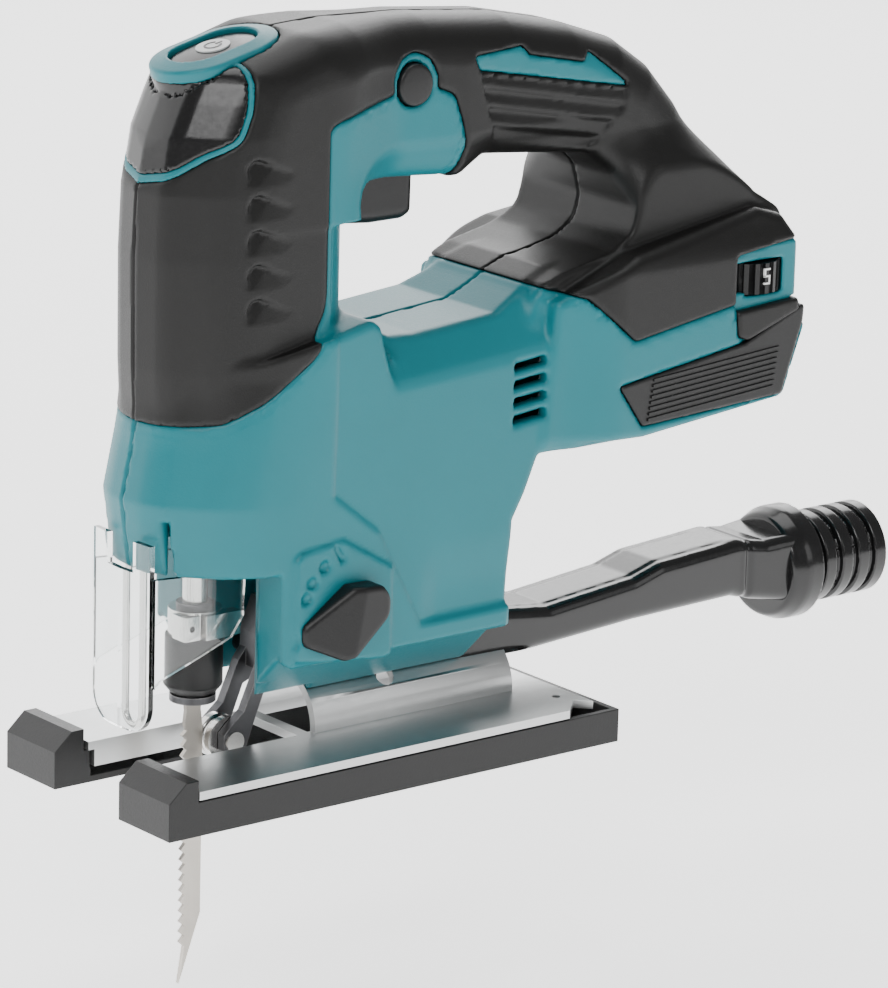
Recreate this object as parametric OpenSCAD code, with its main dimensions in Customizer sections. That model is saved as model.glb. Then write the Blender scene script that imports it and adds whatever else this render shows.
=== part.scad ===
// Cordless jigsaw with a D-handle, bare of its battery.
// Front of the tool is -X, its left side is -Y and +Z is up. The origin is the point where the
// blade's axis crosses the sole plane, on the parting plane of the two housing halves.

/* [Shoe] */
// Width of the shoe over the sole cover
shoe_w = 77; // [72:0.5:84]
// Length of the shoe
shoe_l = 156; // [150:1:165]
// Distance from the front of the shoe to the blade axis
shoe_front = 35; // [33:0.5:38]
// Height of the metal plate's top face above the sole
plate_z = 12.3; // [11:0.1:13]
// Thickness of the metal plate
plate_t = 2.4; // [2:0.1:3]
// Thickness of the plastic sole under the plate
sole_t = 2; // [1.5:0.1:2.6]
// Half-width of the blade opening between the two prongs
gap_half = 13.4; // [13:0.1:15]
// Outer radius of the tilt guide pressed up from the plate
guide_r = 15; // [14:0.1:16]
// Height of the tilt axis above the sole
tilt_z = 13; // [12.8:0.1:14]

/* [Housing] */
// Half-width of the motor body
body_half = 31; // [30:0.5:33]
// Half-width of the front pillar
pillar_half = 26; // [25.5:0.5:28]
// Half-width of the handle bar and rear leg
handle_half = 19; // [18:0.5:21]
// Half-width of the battery dock
dock_half = 36.5; // [36:0.5:38]
// Wall thickness of the housing halves
wall = 2.5; // [2:0.1:3]
// Thickness of the soft overmoulded grip
grip_t = 2; // [1.5:0.1:2.4]
// Top of the handle above the sole
top_z = 208.5; // [206:0.5:216]

/* [Drive] */
// Height of the motor shaft above the sole
motor_z = 88; // [86:0.5:89]
// Gear module
gear_m = 0.85; // [0.75:0.01:0.87]
// Teeth of the crank gear
gear_teeth = 42; // [38:1:42]
// Teeth of the motor pinion
pinion_teeth = 10; // [9:1:11]
// Stroke of the blade
stroke = 26; // [18:1:26]
// How far above its lowest point the plunger stands at rest
rest_lift = 5; // [3:0.5:6]
// Radius of the plunger rod
plunger_r = 3.5; // [3:0.1:4]
// Radius of the stator
stator_r = 22.3; // [20:0.1:22.5]
// Running clearance of pins and shafts
run_gap = 0.05; // [0.03:0.01:0.08]

/* [Blade] */
// Width of the blade
blade_w = 6.2; // [5:0.1:8]
// Thickness of the blade
blade_t = 1.3; // [1:0.1:1.6]
// Lowest point of the blade below the sole
blade_reach = 58; // [45:1:75]
// Spacing of the teeth
tooth_pitch = 3; // [2:0.1:4]
// Radius of the guide roller
roller_r = 6.2; // [5.5:0.1:6.5]

/* [Dust port] */
// Bore radius of the hose cuff
cuff_bore_r = 11.5; // [10:0.1:12]
// Outer radius of the cuff's rings
cuff_r = 13.8; // [13:0.1:15]

/* [Hidden] */
$fn = 48;

eps = 0.01;
far = 400;
tilt_gap = 0.3;       // between the tilt guide and the cradle in the housing

// Shoe
half_w = shoe_w / 2;
shoe_x0 = -shoe_front;
shoe_x1 = shoe_l - shoe_front;
plate_x1 = shoe_x1 - 7;
gap_x1 = 26;
guide_x0 = 31;
guide_x1 = 101;
skirt_t = 2;

// Gears
gear_r = gear_m * gear_teeth / 2;
pinion_r = gear_m * pinion_teeth / 2;
gear_z = motor_z + gear_r + pinion_r + 0.05;
crank_r = stroke / 2;
gear_x0 = 20;
gear_x1 = 28;
yoke_z = gear_z - crank_r + rest_lift;
pin_y = -sqrt(pow(crank_r, 2) - pow(gear_z - yoke_z, 2));
pin_angle = atan2(-pin_y, yoke_z - gear_z);
boss_throw = 4;
boss_r = 9.5;
// The balance plate runs opposite to the plunger, with the throw of the boss
balance_z = gear_z + (gear_z - yoke_z) * boss_throw / crank_r;

yoke_half = crank_r + 4.8;
// Plunger and clamp heights at rest
clamp_z0 = 24;
clamp_z1 = 43;
collar_z1 = 53.5;
guide_pivot_z = 150;

// Blade shank
shank_half = blade_w / 2 - 0.2;

// Roller arm
roller_x = blade_w / 2 + 0.2 + roller_r;
roller_z = 11.5;
arm_x = 25;
arm_z = 33;
arm_bay_x1 = 38;
wire_x = -18.9;
wire_y = 3.9;
wire_z1 = 71;

// ---- outlines of the housing, seen from the side as (x, z) ----
function pillar_pts() = [[-19.6, 98], [-20.8, 120], [-21, 150], [-20.2, 168], [-17.5, 183], [-13.5, 193],
  [-11, 197.5], [2, 202], [22, top_z - 1.5], [38, top_z], [38, 150], [37, 139], [42, 128], [52, 119],
  [60, 108], [60, 98]];
function handle_pts() = [[12, 190], [14, top_z - 2.5], [35, top_z], [65, top_z - 0.4], [95, top_z - 3.2],
  [118, top_z - 7], [135, top_z - 12.5], [147, top_z - 20.5], [157, top_z - 31.5], [166, 164],
  [160, 150], [134, 150], [131, 160], [124, 165.5], [88, 168.5], [77, 163.5], [36, 165.5], [30, 172]];
function leg_pts() = [[157, 177], [169, 160], [178, 147], [176, 130], [110, 128], [112, 135.5],
  [126, 138.5], [132.5, 143], [134.5, 150], [131, 160], [140, 178]];
function dock_pts() = [[112, 135.5], [126, 138.5], [181, 145.3], [184.5, 136], [188, 113], [181, 94],
  [129, 87], [112, 85], [106, 100], [106, 120]];
function body_pts() = [[-20.8, 65], [-21.4, 71], [-22.2, 77], [-24.4, 84], [-20, 104], [-18, 116], [37, 132], [42, 128], [50, 123.4],
  [58, 123.2], [85, 125.6], [97, 131], [106, 134.5], [120, 137], [126, 120], [122, 86], [body_x1, 85], [body_x1, 23.5],
  [8, 23.5], [8, 65]];

body_x1 = 86;

// Outlines seen from above: the faceted pillar and the nose with its shallow prow
function pillar_plan() = [[-21, 0], [-18.8, 10.5], [-9, 21.5], [3, pillar_half], [24, pillar_half], [33, 20], [38.2, 10],
  [38.2, -10], [33, -20], [24, -pillar_half], [3, -pillar_half], [-9, -21.5], [-18.8, -10.5]];
function nose_plan() = [[-24.5, 0], [-23.2, 13], [-11, 25], [4, body_half], [130, body_half], [130, -body_half],
  [4, -body_half], [-11, -25], [-23.2, -13]];
module plan_prism(pts, inset) {
  translate([0, 0, 10]) linear_extrude(far) offset(delta = -inset) polygon(pts);
}

// An outline drawn in (x, z) made into a slab that reaches w to each side of the parting plane
module slab(pts, w, inset = 0) {
  rotate([90, 0, 0]) linear_extrude(2 * w, center = true) offset(delta = -inset) polygon(pts);
}

// A slab whose long edges are stepped back in three layers
module soft_slab(pts, w, c, inset = 0) {
  slab(pts, w - inset - c, inset);
  slab(pts, w - inset - 0.45 * c, inset + 0.25 * c);
  slab(pts, w - inset, inset + c);
}

// The handle loop, with every face moved in by inset
module loop_solid(inset = 0) {
  intersection() {
    soft_slab(pillar_pts(), pillar_half, 1.5, inset);
    plan_prism(pillar_plan(), inset);
  }
  soft_slab(handle_pts(), handle_half, 5, inset);
  soft_slab(leg_pts(), handle_half, 5, inset);
}

module dock_solid(inset = 0) soft_slab(dock_pts(), dock_half, 3, inset);

// The motor body; its lower flanks keep clear of the shoe tilted to either side
module body_solid(inset = 0) {
  difference() {
    intersection() {
      soft_slab(body_pts(), body_half, 3, inset);
      plan_prism(nose_plan(), inset);
    }
    tilt_clearance(inset);
  }
}

// The space swept by the shoe as it tilts 45 degrees to each side
module tilt_clearance(inset = 0) {
  top = tilt_z + inset * 1.41;
  reach = half_w + 0.6 + inset;
  for (s = [-1, 1])
    rotate([90, 0, 90]) translate([0, 0, -60]) linear_extrude(far)
      polygon([[0, top - 20], [0, top], [s * reach * 0.707, top + reach * 0.707],
        [s * reach * 0.83, top + reach * 0.56], [s * reach * 0.93, top + reach * 0.36],
        [s * reach, top], [s * reach, top - 20]]);
  translate([guide_x0 - 1, 0, tilt_z]) rotate([0, 90, 0]) cylinder(h = far, r = guide_r + tilt_gap + inset);
}

// The side of the parting plane that a half keeps: -1 is left, 1 is right
module half_space(s) translate([-60, s > 0 ? 0 : -60, -80]) cube([far, 60, far]);

// Side-view outline of the soft grip
module soft_zone() {
  slab([[-40, 105], [-19, 105], [-3, 109.5], [21, 127.5], [23, 186], [33, 191], [47, 196], [57, 201],
    [66, 198], [75, 187], [76, 150], [78, 137], [84, 134], [116, 127], [132, 112.5], [167, 117.5], [168, 137.5],
    [200, 135.5], [200, 240], [-40, 240]], 60);
}

// Side-view outline of the hard cap in front of the pillar's head
function cap_pts() = [[-40, 171.5], [-19, 171.5], [-8, 177], [-1.5, 184], [-0.5, 192], [-4, 198], [-9, 215], [-40, 215]];

// What the overmoulded skin takes from the outer surface
module skin() {
  difference() {
    intersection() {
      union() {
        loop_solid();
        dock_solid();
      }
      soft_zone();
    }
    union() {
      loop_solid(grip_t);
      dock_solid(grip_t);
      body_solid(grip_t);
    }
  }
}

screw_at = [[-9, 180], [28, 180], [96, 182], [152, 160], [131, 122], [105, 96], [72, 48], [17, 74]];
screw_r = 1.9;
boss_or = 3.8;
head_r = 3.4;
head_y = 9;

lever_x = 31.5;
lever_z = 53;
lever_shaft_r = 4;
dial_x = 172.5;
dial_z = 127.5;
dial_r = 10.5;
dial_y = dock_half - dial_r - 0.2;
lock_x = 57.4;
lock_z = 191.5;
lock_r = 5.8;
trigger_half = 9;
bay_tilt = -7.5;
bay_h = 15;

// The battery bay under the dock, open to the rear and below
module bay(gap = 0) {
  translate([124, 0, 86]) rotate([0, bay_tilt, 0])
    translate([2 - gap, -(dock_half - 3.5 + gap), -6]) cube([80, 2 * (dock_half - 3.5 + gap), 6 + bay_h + gap]);
}

module bezel_place() translate([4, 0, 203.4]) rotate([0, -14, 0]) children();
module stadium(half_l, half_w2, h) {
  for (s = [-1, 1]) translate([s * (half_l - half_w2), 0, 0]) cylinder(h = h, r = half_w2);
  translate([-(half_l - half_w2), -half_w2, 0]) cube([2 * (half_l - half_w2), 2 * half_w2, h]);
}
bezel_l = 18.5;
bezel_w = 13.4;
button_l = 13;
button_w = 8;

// Everything cut away inside the housing
module hollow() {
  difference() {
    union() {
      loop_solid(grip_t + wall);
      dock_solid(grip_t + wall);
      body_solid(wall);
    }
    bay(wall);
    // cross bosses for the screws
    for (p = screw_at) translate([p[0], 0, p[1]]) rotate([90, 0, 0]) cylinder(h = 120, r = boss_or, center = true);
    // walls of the blade space and the shelf under the gear housing
    translate([-30, -15.1, 0]) cube([30 + arm_bay_x1 + wall, 30.2, 66.5]);
    translate([-30, -20.3, 0]) cube([44, 40.6, gh_z0]);
    translate([-30, -60, gh_z0 - 2.5]) cube([70, 120, 2.5]);
    // ribs that hold the stator, the rear bearing, the switch and the dial's pin
    for (x = [48, 60]) difference() {
      translate([x, -60, 60]) cube([2, 120, 70]);
      x_rod(0, far, motor_z, stator_r + 0.01);
    }
    difference() {
      translate([rear_x0 + 0.6, -60, 66]) cube([3.6, 120, 50]);
      x_rod(0, far, motor_z, bearing_r + 0.01);
    }
    for (s = [-1, 1]) translate([50, s * 15 - 4.95, 177]) cube([24, 9.9, 3]);
    for (z = [dial_z - 8.5, dial_z + 5.5]) translate([dial_x - 5, -dock_half, z]) cube([10, 16, 3]);
    // boss of the clamping bolt
    translate([bolt_x, 0, tilt_z]) cylinder(h = guide_r + 7.6, r = 6);
    // wall that carries the shaft of the lever
    translate([lever_x, 0, lever_z]) rotate([90, 0, 0]) cylinder(h = body_half - wall + eps, r = lever_shaft_r + 2.4);
  }
}

module housing_cuts() {
  // space round the blade clamp, open below, and between the two cheeks
  translate([-17.2, -17.8, 20]) cube([28.4, 35.6, gh_z0 - 20]);
  translate([-17.2, -12.6, 20]) cube([guide_x0 + 17.2, 25.2, 44]);
  translate([0, -12.6, 36]) cube([arm_bay_x1, 25.2, 28]);
  translate([0, -9, 36]) cube([body_x1 + 5, 18, 12]);
  // slots for the wings of the clear guard and the holes for the guard wire
  for (s = [-1, 1]) {
    translate([-30, s * 13.5 - 1.1, 60]) cube([30, 2.2, 20]);
    translate([wire_x, s * wire_y, 60]) cylinder(h = wire_z1 - 60, r = 1.01);
  }
  // hole for the shoe's clamping bolt
  translate([bolt_x, 0, tilt_z]) cylinder(h = 40, r = bolt_r + 0.02);
  // bore of the arm's pin
  y_rod(arm_x, arm_z, -14.5, 14.5, 2.505);
  // pinion space and the dial's pin
  x_rod(17, 33, motor_z, 6);
  x_rod(32, 41, motor_z, bearing_r + 0.01);
  translate([dial_x, -dial_y, dial_z - 7]) cylinder(h = 14, r = 1.505);
  // well of the mode button
  bezel_place() translate([0, 0, -10]) stadium(button_l + 0.3, button_w + 0.3, 12);
  bay();
  // trigger slot
  translate([38.2, -trigger_half - 0.4, 150]) cube([31, 2 * trigger_half + 0.8, 24]);
  // lock button bore, left side only
  translate([lock_x, 0, lock_z]) rotate([90, 0, 0]) cylinder(h = 60, r = lock_r + 0.3);
  // lever shaft bore, left side only
  translate([lever_x, 0, lever_z]) rotate([90, 0, 0]) cylinder(h = 60, r = lever_shaft_r + run_gap);
  // dial window
  translate([dial_x - 8.9, -60, dial_z - 5]) cube([17.8, 60 - dial_y + 4, 10]);
  translate([dial_x, -dial_y, dial_z - 5]) cylinder(h = 10, r = dial_r + 0.4);
  // vents on both sides
  for (k = [0:3], s = [-1, 1])
    translate([87.5, s > 0 ? 15 : -60, 93.5 + 5.6 * k]) cube([11.5, 45, 3]);
  // seat of the head's cap, bezel and button
  bezel_place() translate([0, 0, -3]) stadium(bezel_l + 0.05, bezel_w + 0.05, 30);
  // heads and shanks of the screws
  for (p = screw_at) translate([p[0], 0, p[1]]) {
    rotate([-90, 0, 0]) cylinder(h = 60, r = screw_r + 0.15);
    rotate([90, 0, 0]) cylinder(h = 9, r = screw_r + 0.02);
    translate([0, head_y, 0]) rotate([-90, 0, 0]) cylinder(h = 60, r = head_r + 0.3);
  }
}

module housing_half(s) {
  difference() {
    intersection() {
      union() {
        loop_solid();
        dock_solid();
        body_solid();
      }
      half_space(s);
    }
    hollow();
    skin();
    housing_cuts();
    panel_zone(s);
  }
}
module housing_left() { color([0.03, 0.48, 0.55]) housing_half(-1); }
module housing_right() { color([0.03, 0.48, 0.55]) housing_half(1); }

module grip_half(s) {
  difference() {
    intersection() {
      skin();
      half_space(s);
    }
    housing_cuts();
    slab(cap_pts(), 60);
  }
}
module grip_left() { color([0.1, 0.1, 0.1]) grip_half(-1); }
module grip_right() { color([0.1, 0.1, 0.1]) grip_half(1); }

trim_w = 1.2;
module front_cap() {
  color([0.06, 0.06, 0.06]) difference() {
    intersection() {
      skin();
      slab(cap_pts(), 60, trim_w);
    }
    housing_cuts();
  }
}

// Teal frame round the button, with the thin line that borders the cap
module button_bezel() {
  color([0.03, 0.48, 0.55]) {
    difference() {
      bezel_place() translate([0, 0, -3]) stadium(bezel_l, bezel_w, 5.2);
      bezel_place() translate([0, 0, -4]) stadium(button_l + 0.3, button_w + 0.3, 10);
    }
    difference() {
      intersection() {
        skin();
        slab(cap_pts(), 60);
      }
      slab(cap_pts(), 61, trim_w);
      housing_cuts();
    }
  }
}

module mode_button() {
  color([0.05, 0.05, 0.05]) bezel_place() {
    translate([0, 0, -4]) stadium(button_l, button_w, 5.4);
    translate([0, 0, -8]) cylinder(h = 4 + eps, r = 2.5);
  }
}

trigger_pivot = [42, 171];
module trigger() {
  color([0.07, 0.07, 0.07]) difference() {
    soft_slab([[38.9, 172.5], [38.9, 154.5], [42, 152.6], [61, 151.8], [65.2, 154], [66.2, 158], [66.2, 168], [60, 170],
      [48, 174], [40, 174]], trigger_half, 2);
    translate([54, -4, 164]) cube([8, 8, 12]);
    translate([trigger_pivot[0], 0, trigger_pivot[1]]) rotate([90, 0, 0])
      cylinder(h = 40, r = 1.5 + run_gap, center = true);
  }
}

// Return spring under the switch, a few turns of wire standing as closed rings joined by a spine
module trigger_spring() {
  color([0.6, 0.6, 0.6]) translate([58, 0, 164.2]) {
    for (k = [0:4]) translate([0, 0, 0.5 + 2.95 * k]) rotate_extrude() translate([2.4, 0]) circle(r = 0.5, $fn = 16);
    translate([2.4, 0, 0.5]) cylinder(h = 11.8, r = 0.45);
  }
}

module lock_button() {
  color([0.08, 0.08, 0.08]) translate([lock_x, 0, lock_z]) rotate([90, 0, 0]) {
    translate([0, 0, handle_half - 6]) cylinder(h = 7, r = lock_r);
    translate([0, 0, 2]) cylinder(h = handle_half - 8 + eps, r = 2.6);
  }
}

module speed_dial() {
  color([0.07, 0.07, 0.07]) difference() {
    translate([dial_x, -dial_y, dial_z - 4.4]) {
      cylinder(h = 8.8, r = dial_r - 0.5);
      for (k = [0:19]) rotate(18 * k) translate([dial_r - 0.9, -0.7, 0]) cube([0.8, 1.4, 8.8]);
    }
    translate([dial_x, -dial_y, dial_z - 10]) cylinder(h = 20, r = 1.5 + run_gap);
  }
}

module dial_pin() {
  color([0.65, 0.65, 0.67]) translate([dial_x, -dial_y, dial_z - 7]) cylinder(h = 14, r = 1.5);
}

// Side-view outline of the ribbed dock panels
function panel_pts() = [[122, 102.5], [128.5, 91], [181, 97.5], [186, 110], [183, 113], [166, 115], [160, 109.5]];
panel_t = 1.8;
module panel_zone(s) {
  translate([0, s * (dock_half - panel_t + 5), 0]) slab(panel_pts(), 5);
}
module dock_panel(s) {
  difference() {
    translate([0, s * (dock_half - panel_t / 2), 0]) slab(panel_pts(), panel_t / 2, 0.15);
    for (k = [0:6]) translate([120, s * dock_half - 0.4, 93.6 + 2.2 * k]) rotate([0, bay_tilt, 0])
      cube([60, 0.8, 0.8]);
  }
}
module dock_panel_left() { color([0.09, 0.09, 0.09]) dock_panel(-1); }
module dock_panel_right() { color([0.09, 0.09, 0.09]) dock_panel(1); }

module bay_place() translate([124, 0, 86]) rotate([0, bay_tilt, 0]) children();

// Two channels that the battery's rails slide in
module dock_rails() {
  color([0.12, 0.12, 0.12]) bay_place() for (s = [-1, 1]) {
    translate([22, s * 31.3 - 1.5, 3]) cube([36, 3, bay_h - 3]);
    translate([22, s * 28.6 - 1.4 , 3]) cube([36, 2.8, 2.4]);
  }
}

module terminal_block() {
  color([0.08, 0.08, 0.08]) bay_place() difference() {
    translate([4, -22, bay_h - 10]) cube([14, 44, 10]);
    for (k = [-2:2]) translate([3, k * 7.5 - 0.45, bay_h - 7.1]) cube([30, 0.9, 5.2]);
  }
}

module terminal_blades() {
  color([0.75, 0.7, 0.5]) bay_place()
    for (k = [-2:2]) translate([6, k * 7.5 - 0.4, bay_h - 7]) cube([24, 0.8, 5]);
}

module switch_box() {
  color([0.15, 0.15, 0.15]) {
    translate([50, -10, 177]) cube([24, 20, 8]);
    translate([64, -3, 176]) cube([4, 6, 2]);
  }
}

module controller_box() {
  color([0.2, 0.2, 0.22]) bay_place() translate([14, -24, bay_h + wall]) difference() {
    cube([28, 48, 11]);
    translate([1.5, 1.5, 8]) cube([25, 45, 12]);
  }
}

module lamp_lens() {
  color([0.9, 0.95, 1, 0.6]) {
    translate([13, -5, 61]) cube([7, 10, 3]);
    translate([16.5, 0, 58]) cylinder(h = 3 + eps, r = 2.6);
  }
}

module x_rod(x0, x1, z, r) translate([x0, 0, z]) rotate([0, 90, 0]) cylinder(h = x1 - x0, r = r);

shaft_r = 2.5;
bearing_r = 8;
stator_x0 = 43.5;
stator_x1 = 64.5;
fan_x0 = 68;
rear_x0 = 76.5;
module motor_stator() {
  color([0.35, 0.35, 0.37]) difference() {
    union() {
      x_rod(stator_x0, stator_x1, motor_z, stator_r);
      for (a = [0:60:300]) translate([0, 0, motor_z]) rotate([a, 0, 0]) translate([stator_x0 - 2.5, -5, 15])
        cube([stator_x1 - stator_x0 + 5, 10, 5]);
    }
    x_rod(40, 90, motor_z, 12.5);
    for (a = [30:60:330]) translate([0, 0, motor_z]) rotate([a, 0, 0]) translate([40, -1.5, 10]) cube([50, 3, 9]);
  }
}

module motor_rotor() {
  color([0.55, 0.55, 0.58]) {
    x_rod(gear_x0 + 2, rear_x0 + 6, motor_z, shaft_r);
    x_rod(stator_x0, stator_x1, motor_z, 12);
    x_rod(stator_x0 - 2.5, stator_x1 + 2, motor_z, 6);
  }
}

module cooling_fan() {
  color([0.1, 0.1, 0.1]) difference() {
    union() {
      x_rod(fan_x0, fan_x0 + 1.6, motor_z, 20.5);
      x_rod(fan_x0, fan_x0 + 7, motor_z, 5);
      for (a = [0:30:330]) translate([0, 0, motor_z]) rotate([a, 0, 0]) translate([fan_x0 + 1, -0.6, 9])
        cube([5.4, 1.2, 11]);
    }
    x_rod(fan_x0 - 1, fan_x0 + 9, motor_z, shaft_r + 0.005);
  }
}

module ball_bearing(x0, x1, z, bore, outer) {
  difference() {
    x_rod(x0, x1, z, outer);
    x_rod(x0 - 1, x1 + 1, z, bore);
    translate([x0 - eps, 0, z]) rotate([0, 90, 0]) difference() {
      cylinder(h = 0.6, r = outer - 1.6);
      translate([0, 0, -1]) cylinder(h = 3, r = bore + 1.6);
    }
    translate([x1 - 0.6 + eps, 0, z]) rotate([0, 90, 0]) difference() {
      cylinder(h = 0.6, r = outer - 1.6);
      translate([0, 0, -1]) cylinder(h = 3, r = bore + 1.6);
    }
  }
}
module front_bearing() { color([0.7, 0.7, 0.72]) ball_bearing(34.5, 39.5, motor_z, shaft_r + run_gap, bearing_r); }
module rear_bearing() { color([0.7, 0.7, 0.72]) ball_bearing(rear_x0, rear_x0 + 5, motor_z, shaft_r + run_gap, bearing_r); }

// A spur gear along X. phase turns it by that many degrees about its axis.
module spur(teeth, m, x0, x1, z, phase) {
  r = teeth * m / 2;
  step = 360 / teeth;
  translate([x0, 0, z]) rotate([phase, 0, 0]) rotate([90, 0, 90]) linear_extrude(x1 - x0) union() {
    circle(r = r - 1.15 * m, $fn = 2 * teeth);
    for (k = [0:teeth - 1]) rotate(step * k)
      polygon([[r - 1.4 * m, -0.62 * m], [r - 1.4 * m, 0.62 * m], [r, 0.72 * m], [r + 0.92 * m, 0.34 * m],
        [r + 0.92 * m, -0.34 * m], [r, -0.72 * m]]);
  }
}

module motor_pinion() {
  color([0.6, 0.6, 0.6]) difference() {
    spur(pinion_teeth, gear_m, gear_x0 - 0.5, gear_x1 + 1, motor_z, 90);
    x_rod(0, 60, motor_z, shaft_r + 0.005);
  }
}

module crank_gear() {
  color([0.5, 0.5, 0.52]) difference() {
    union() {
      spur(gear_teeth, gear_m, gear_x0, gear_x1, gear_z, -90 + 180 / gear_teeth);
      translate([0, -boss_throw * pin_y / crank_r, balance_z - gear_z]) x_rod(gear_x1 - eps, gear_x1 + 1.6, gear_z, boss_r);
    }
    x_rod(0, 60, gear_z, 4 + run_gap);
    translate([0, pin_y, yoke_z - gear_z]) x_rod(0, 60, gear_z, 2.5 + 0.005);
    for (k = [1:5]) translate([0, 0, gear_z]) rotate([pin_angle + 60 * k, 0, 0]) translate([0, 0, 11])
      rotate([0, 90, 0]) cylinder(h = gear_x1 + 10, r = 2.2);
  }
}

// Crank pin; it stops short of the yoke, where the real pin runs in the yoke's slot
module crank_pin() {
  color([0.72, 0.72, 0.74]) translate([0, pin_y, 0]) {
    x_rod(gear_x0 - 9, gear_x1 - 1, yoke_z, 2.5);
  }
}

module gear_shaft() {
  color([0.68, 0.68, 0.7]) {
    x_rod(gear_x0 - 1, gear_x1 + 8, gear_z, 4);
    x_rod(gear_x0 - 2.2, gear_x0 - 0.4, gear_z, 5.6);
  }
}

balance_x0 = gear_x1 + 2;
balance_x1 = balance_x0 + 3;
// Weight that runs opposite to the plunger, driven by the boss behind the gear
module balance_plate() {
  color([0.42, 0.42, 0.44]) difference() {
    translate([balance_x0, -17.5, balance_z - boss_r - 3.4]) cube([balance_x1 - balance_x0, 35, 25.5]);
    translate([balance_x0 - 1, -(boss_throw + boss_r + 0.3), balance_z - boss_r - 0.2])
      cube([10, 2 * (boss_throw + boss_r + 0.3), 2 * boss_r + 0.4]);
  }
}

gh_x1 = 38;
gh_z0 = 84.3;
gh_z1 = 152;
gh_wall = 2;
gh_half = gear_r + gear_m + 2.2;
function gh_plan() = [[-14.2, -6.5], [-14.2, 6.5], [-4.5, 17.6], [3, gh_half], [gh_x1, gh_half], [gh_x1, -gh_half],
  [3, -gh_half], [-4.5, -17.6]];
// Cast frame that holds the gear, the balance plate and the swinging plunger guide
module gear_housing() {
  color([0.66, 0.67, 0.68]) difference() {
    translate([0, 0, gh_z0]) linear_extrude(gh_z1 - gh_z0) polygon(gh_plan());
    // inside, open below in front and open above
    intersection() {
      translate([0, 0, gh_z0 - 1]) linear_extrude(gh_z1) offset(delta = -gh_wall) polygon(gh_plan());
      translate([-30, -30, 0]) cube([30 + gear_x0 - 4, 60, far]);
    }
    translate([gear_x0 - 4 - eps, -gh_half + gh_wall, gh_z0 + gh_wall])
      cube([balance_x1 + 0.4 - gear_x0 + 4, 2 * (gh_half - gh_wall), gh_z1]);
    translate([gear_x0 - 4 - eps, -6.5, gh_z0 - 1]) cube([balance_x1 + 0.4 - gear_x0 + 4, 13, 10]);
    // front bearing seat, gear shaft seat
    x_rod(34.5, 60, motor_z, bearing_r + 0.01);
    x_rod(30, 60, motor_z, bearing_r - 2);
    x_rod(30, 60, gear_z, 4.01);
    // studs of the guide
    translate([0, 0, guide_pivot_z - 4]) rotate([90, 0, 0]) cylinder(h = 80, r = 2.51, center = true);
    // the upper rear is cut back to clear the narrow back of the pillar
    translate([22.5, -30, 125]) cube([30, 60, 40]);
  }
}

// Frame round the plunger; it swings a little about its top pin to give the orbital cut
module plunger_guide() {
  color([0.58, 0.59, 0.6]) difference() {
    union() {
      for (s = [-1, 1]) translate([-2.2, s * 13.1 - 1.2, gh_z0 + 1.5]) cube([8.8, 2.4, guide_pivot_z - gh_z0 - 2]);
      for (z = [[gh_z0 + 1.5, 5], [guide_pivot_z - 10, 10]]) translate([0, 0, z[0]]) linear_extrude(z[1])
        polygon([[-6, -5], [-6, 5], [-2.5, 14.3], [6.6, 14.3], [6.6, -14.3], [-2.5, -14.3]]);
    }
    translate([0, 0, gh_z0 - 5]) cylinder(h = 20, r = 5.5 + 0.005);
    translate([0, 0, guide_pivot_z - 20]) cylinder(h = 40, r = 5.5 + 0.005);
    for (s = [-1, 1]) translate([0, s * 12, guide_pivot_z - 4]) rotate([90, 0, 0])
      cylinder(h = 12, r = 2.5 + run_gap, center = true);
  }
}

// Two pivot studs, one in each side of the cast frame
module guide_pivot_pin() {
  color([0.72, 0.72, 0.74]) for (s = [-1, 1]) translate([0, s * 14.4, guide_pivot_z - 4]) rotate([90, 0, 0])
    cylinder(h = 8.6, r = 2.5, center = true);
}

module bush(z0, z1) {
  difference() {
    translate([0, 0, z0]) cylinder(h = z1 - z0, r = 5.5);
    translate([0, 0, z0 - 1]) cylinder(h = z1 - z0 + 2, r = plunger_r + run_gap);
  }
}
module lower_bush() { color([0.7, 0.55, 0.25]) bush(gh_z0 + 1.5, gh_z0 + 6.5); }
module upper_bush() { color([0.7, 0.55, 0.25]) bush(guide_pivot_z - 10, guide_pivot_z); }

// Rod with the slotted yoke that the crank drives
module plunger() {
  color([0.74, 0.74, 0.76]) difference() {
    union() {
      translate([0, 0, clamp_z0 + 8]) cylinder(h = guide_pivot_z + 6 - clamp_z0 - 8, r = plunger_r);
      translate([7, -yoke_half, yoke_z - 5.2]) cube([3.5, 2 * yoke_half, 10.4]);
      translate([0, -4.4, yoke_z - 4.4]) cube([8, 8.8, 8.8]);
    }
    translate([7 - eps, -(crank_r + 2.6), yoke_z - 2.6]) cube([10, 2 * (crank_r + 2.6), 5.2]);
    translate([-blade_w / 2 - 0.1, -blade_t / 2 - 0.05, 0]) cube([blade_w + 0.2, blade_t + 0.1, clamp_z0 + 16]);
  }
}

module plunger_seal() {
  color([0.25, 0.25, 0.25]) difference() {
    translate([0, 0, gh_z0 + 6.6]) cylinder(h = 1.2, r = 5.4);
    cylinder(h = 200, r = plunger_r + 0.1);
  }
}

module clamp_body() {
  color([0.75, 0.75, 0.76]) difference() {
    union() {
      translate([0, 0, clamp_z0 - 0.2]) cylinder(h = 2, r = 6.4);
      translate([0, 0, clamp_z0 + 1]) cylinder(h = 27, r = 5.2);
    }
    translate([0, 0, clamp_z0 + 8]) cylinder(h = 40, r = plunger_r + 0.005);
    translate([-blade_w / 2 - 0.1, -blade_t / 2 - 0.05, 0]) cube([blade_w + 0.2, blade_t + 0.1, clamp_z0 + 16]);
  }
}

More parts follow.
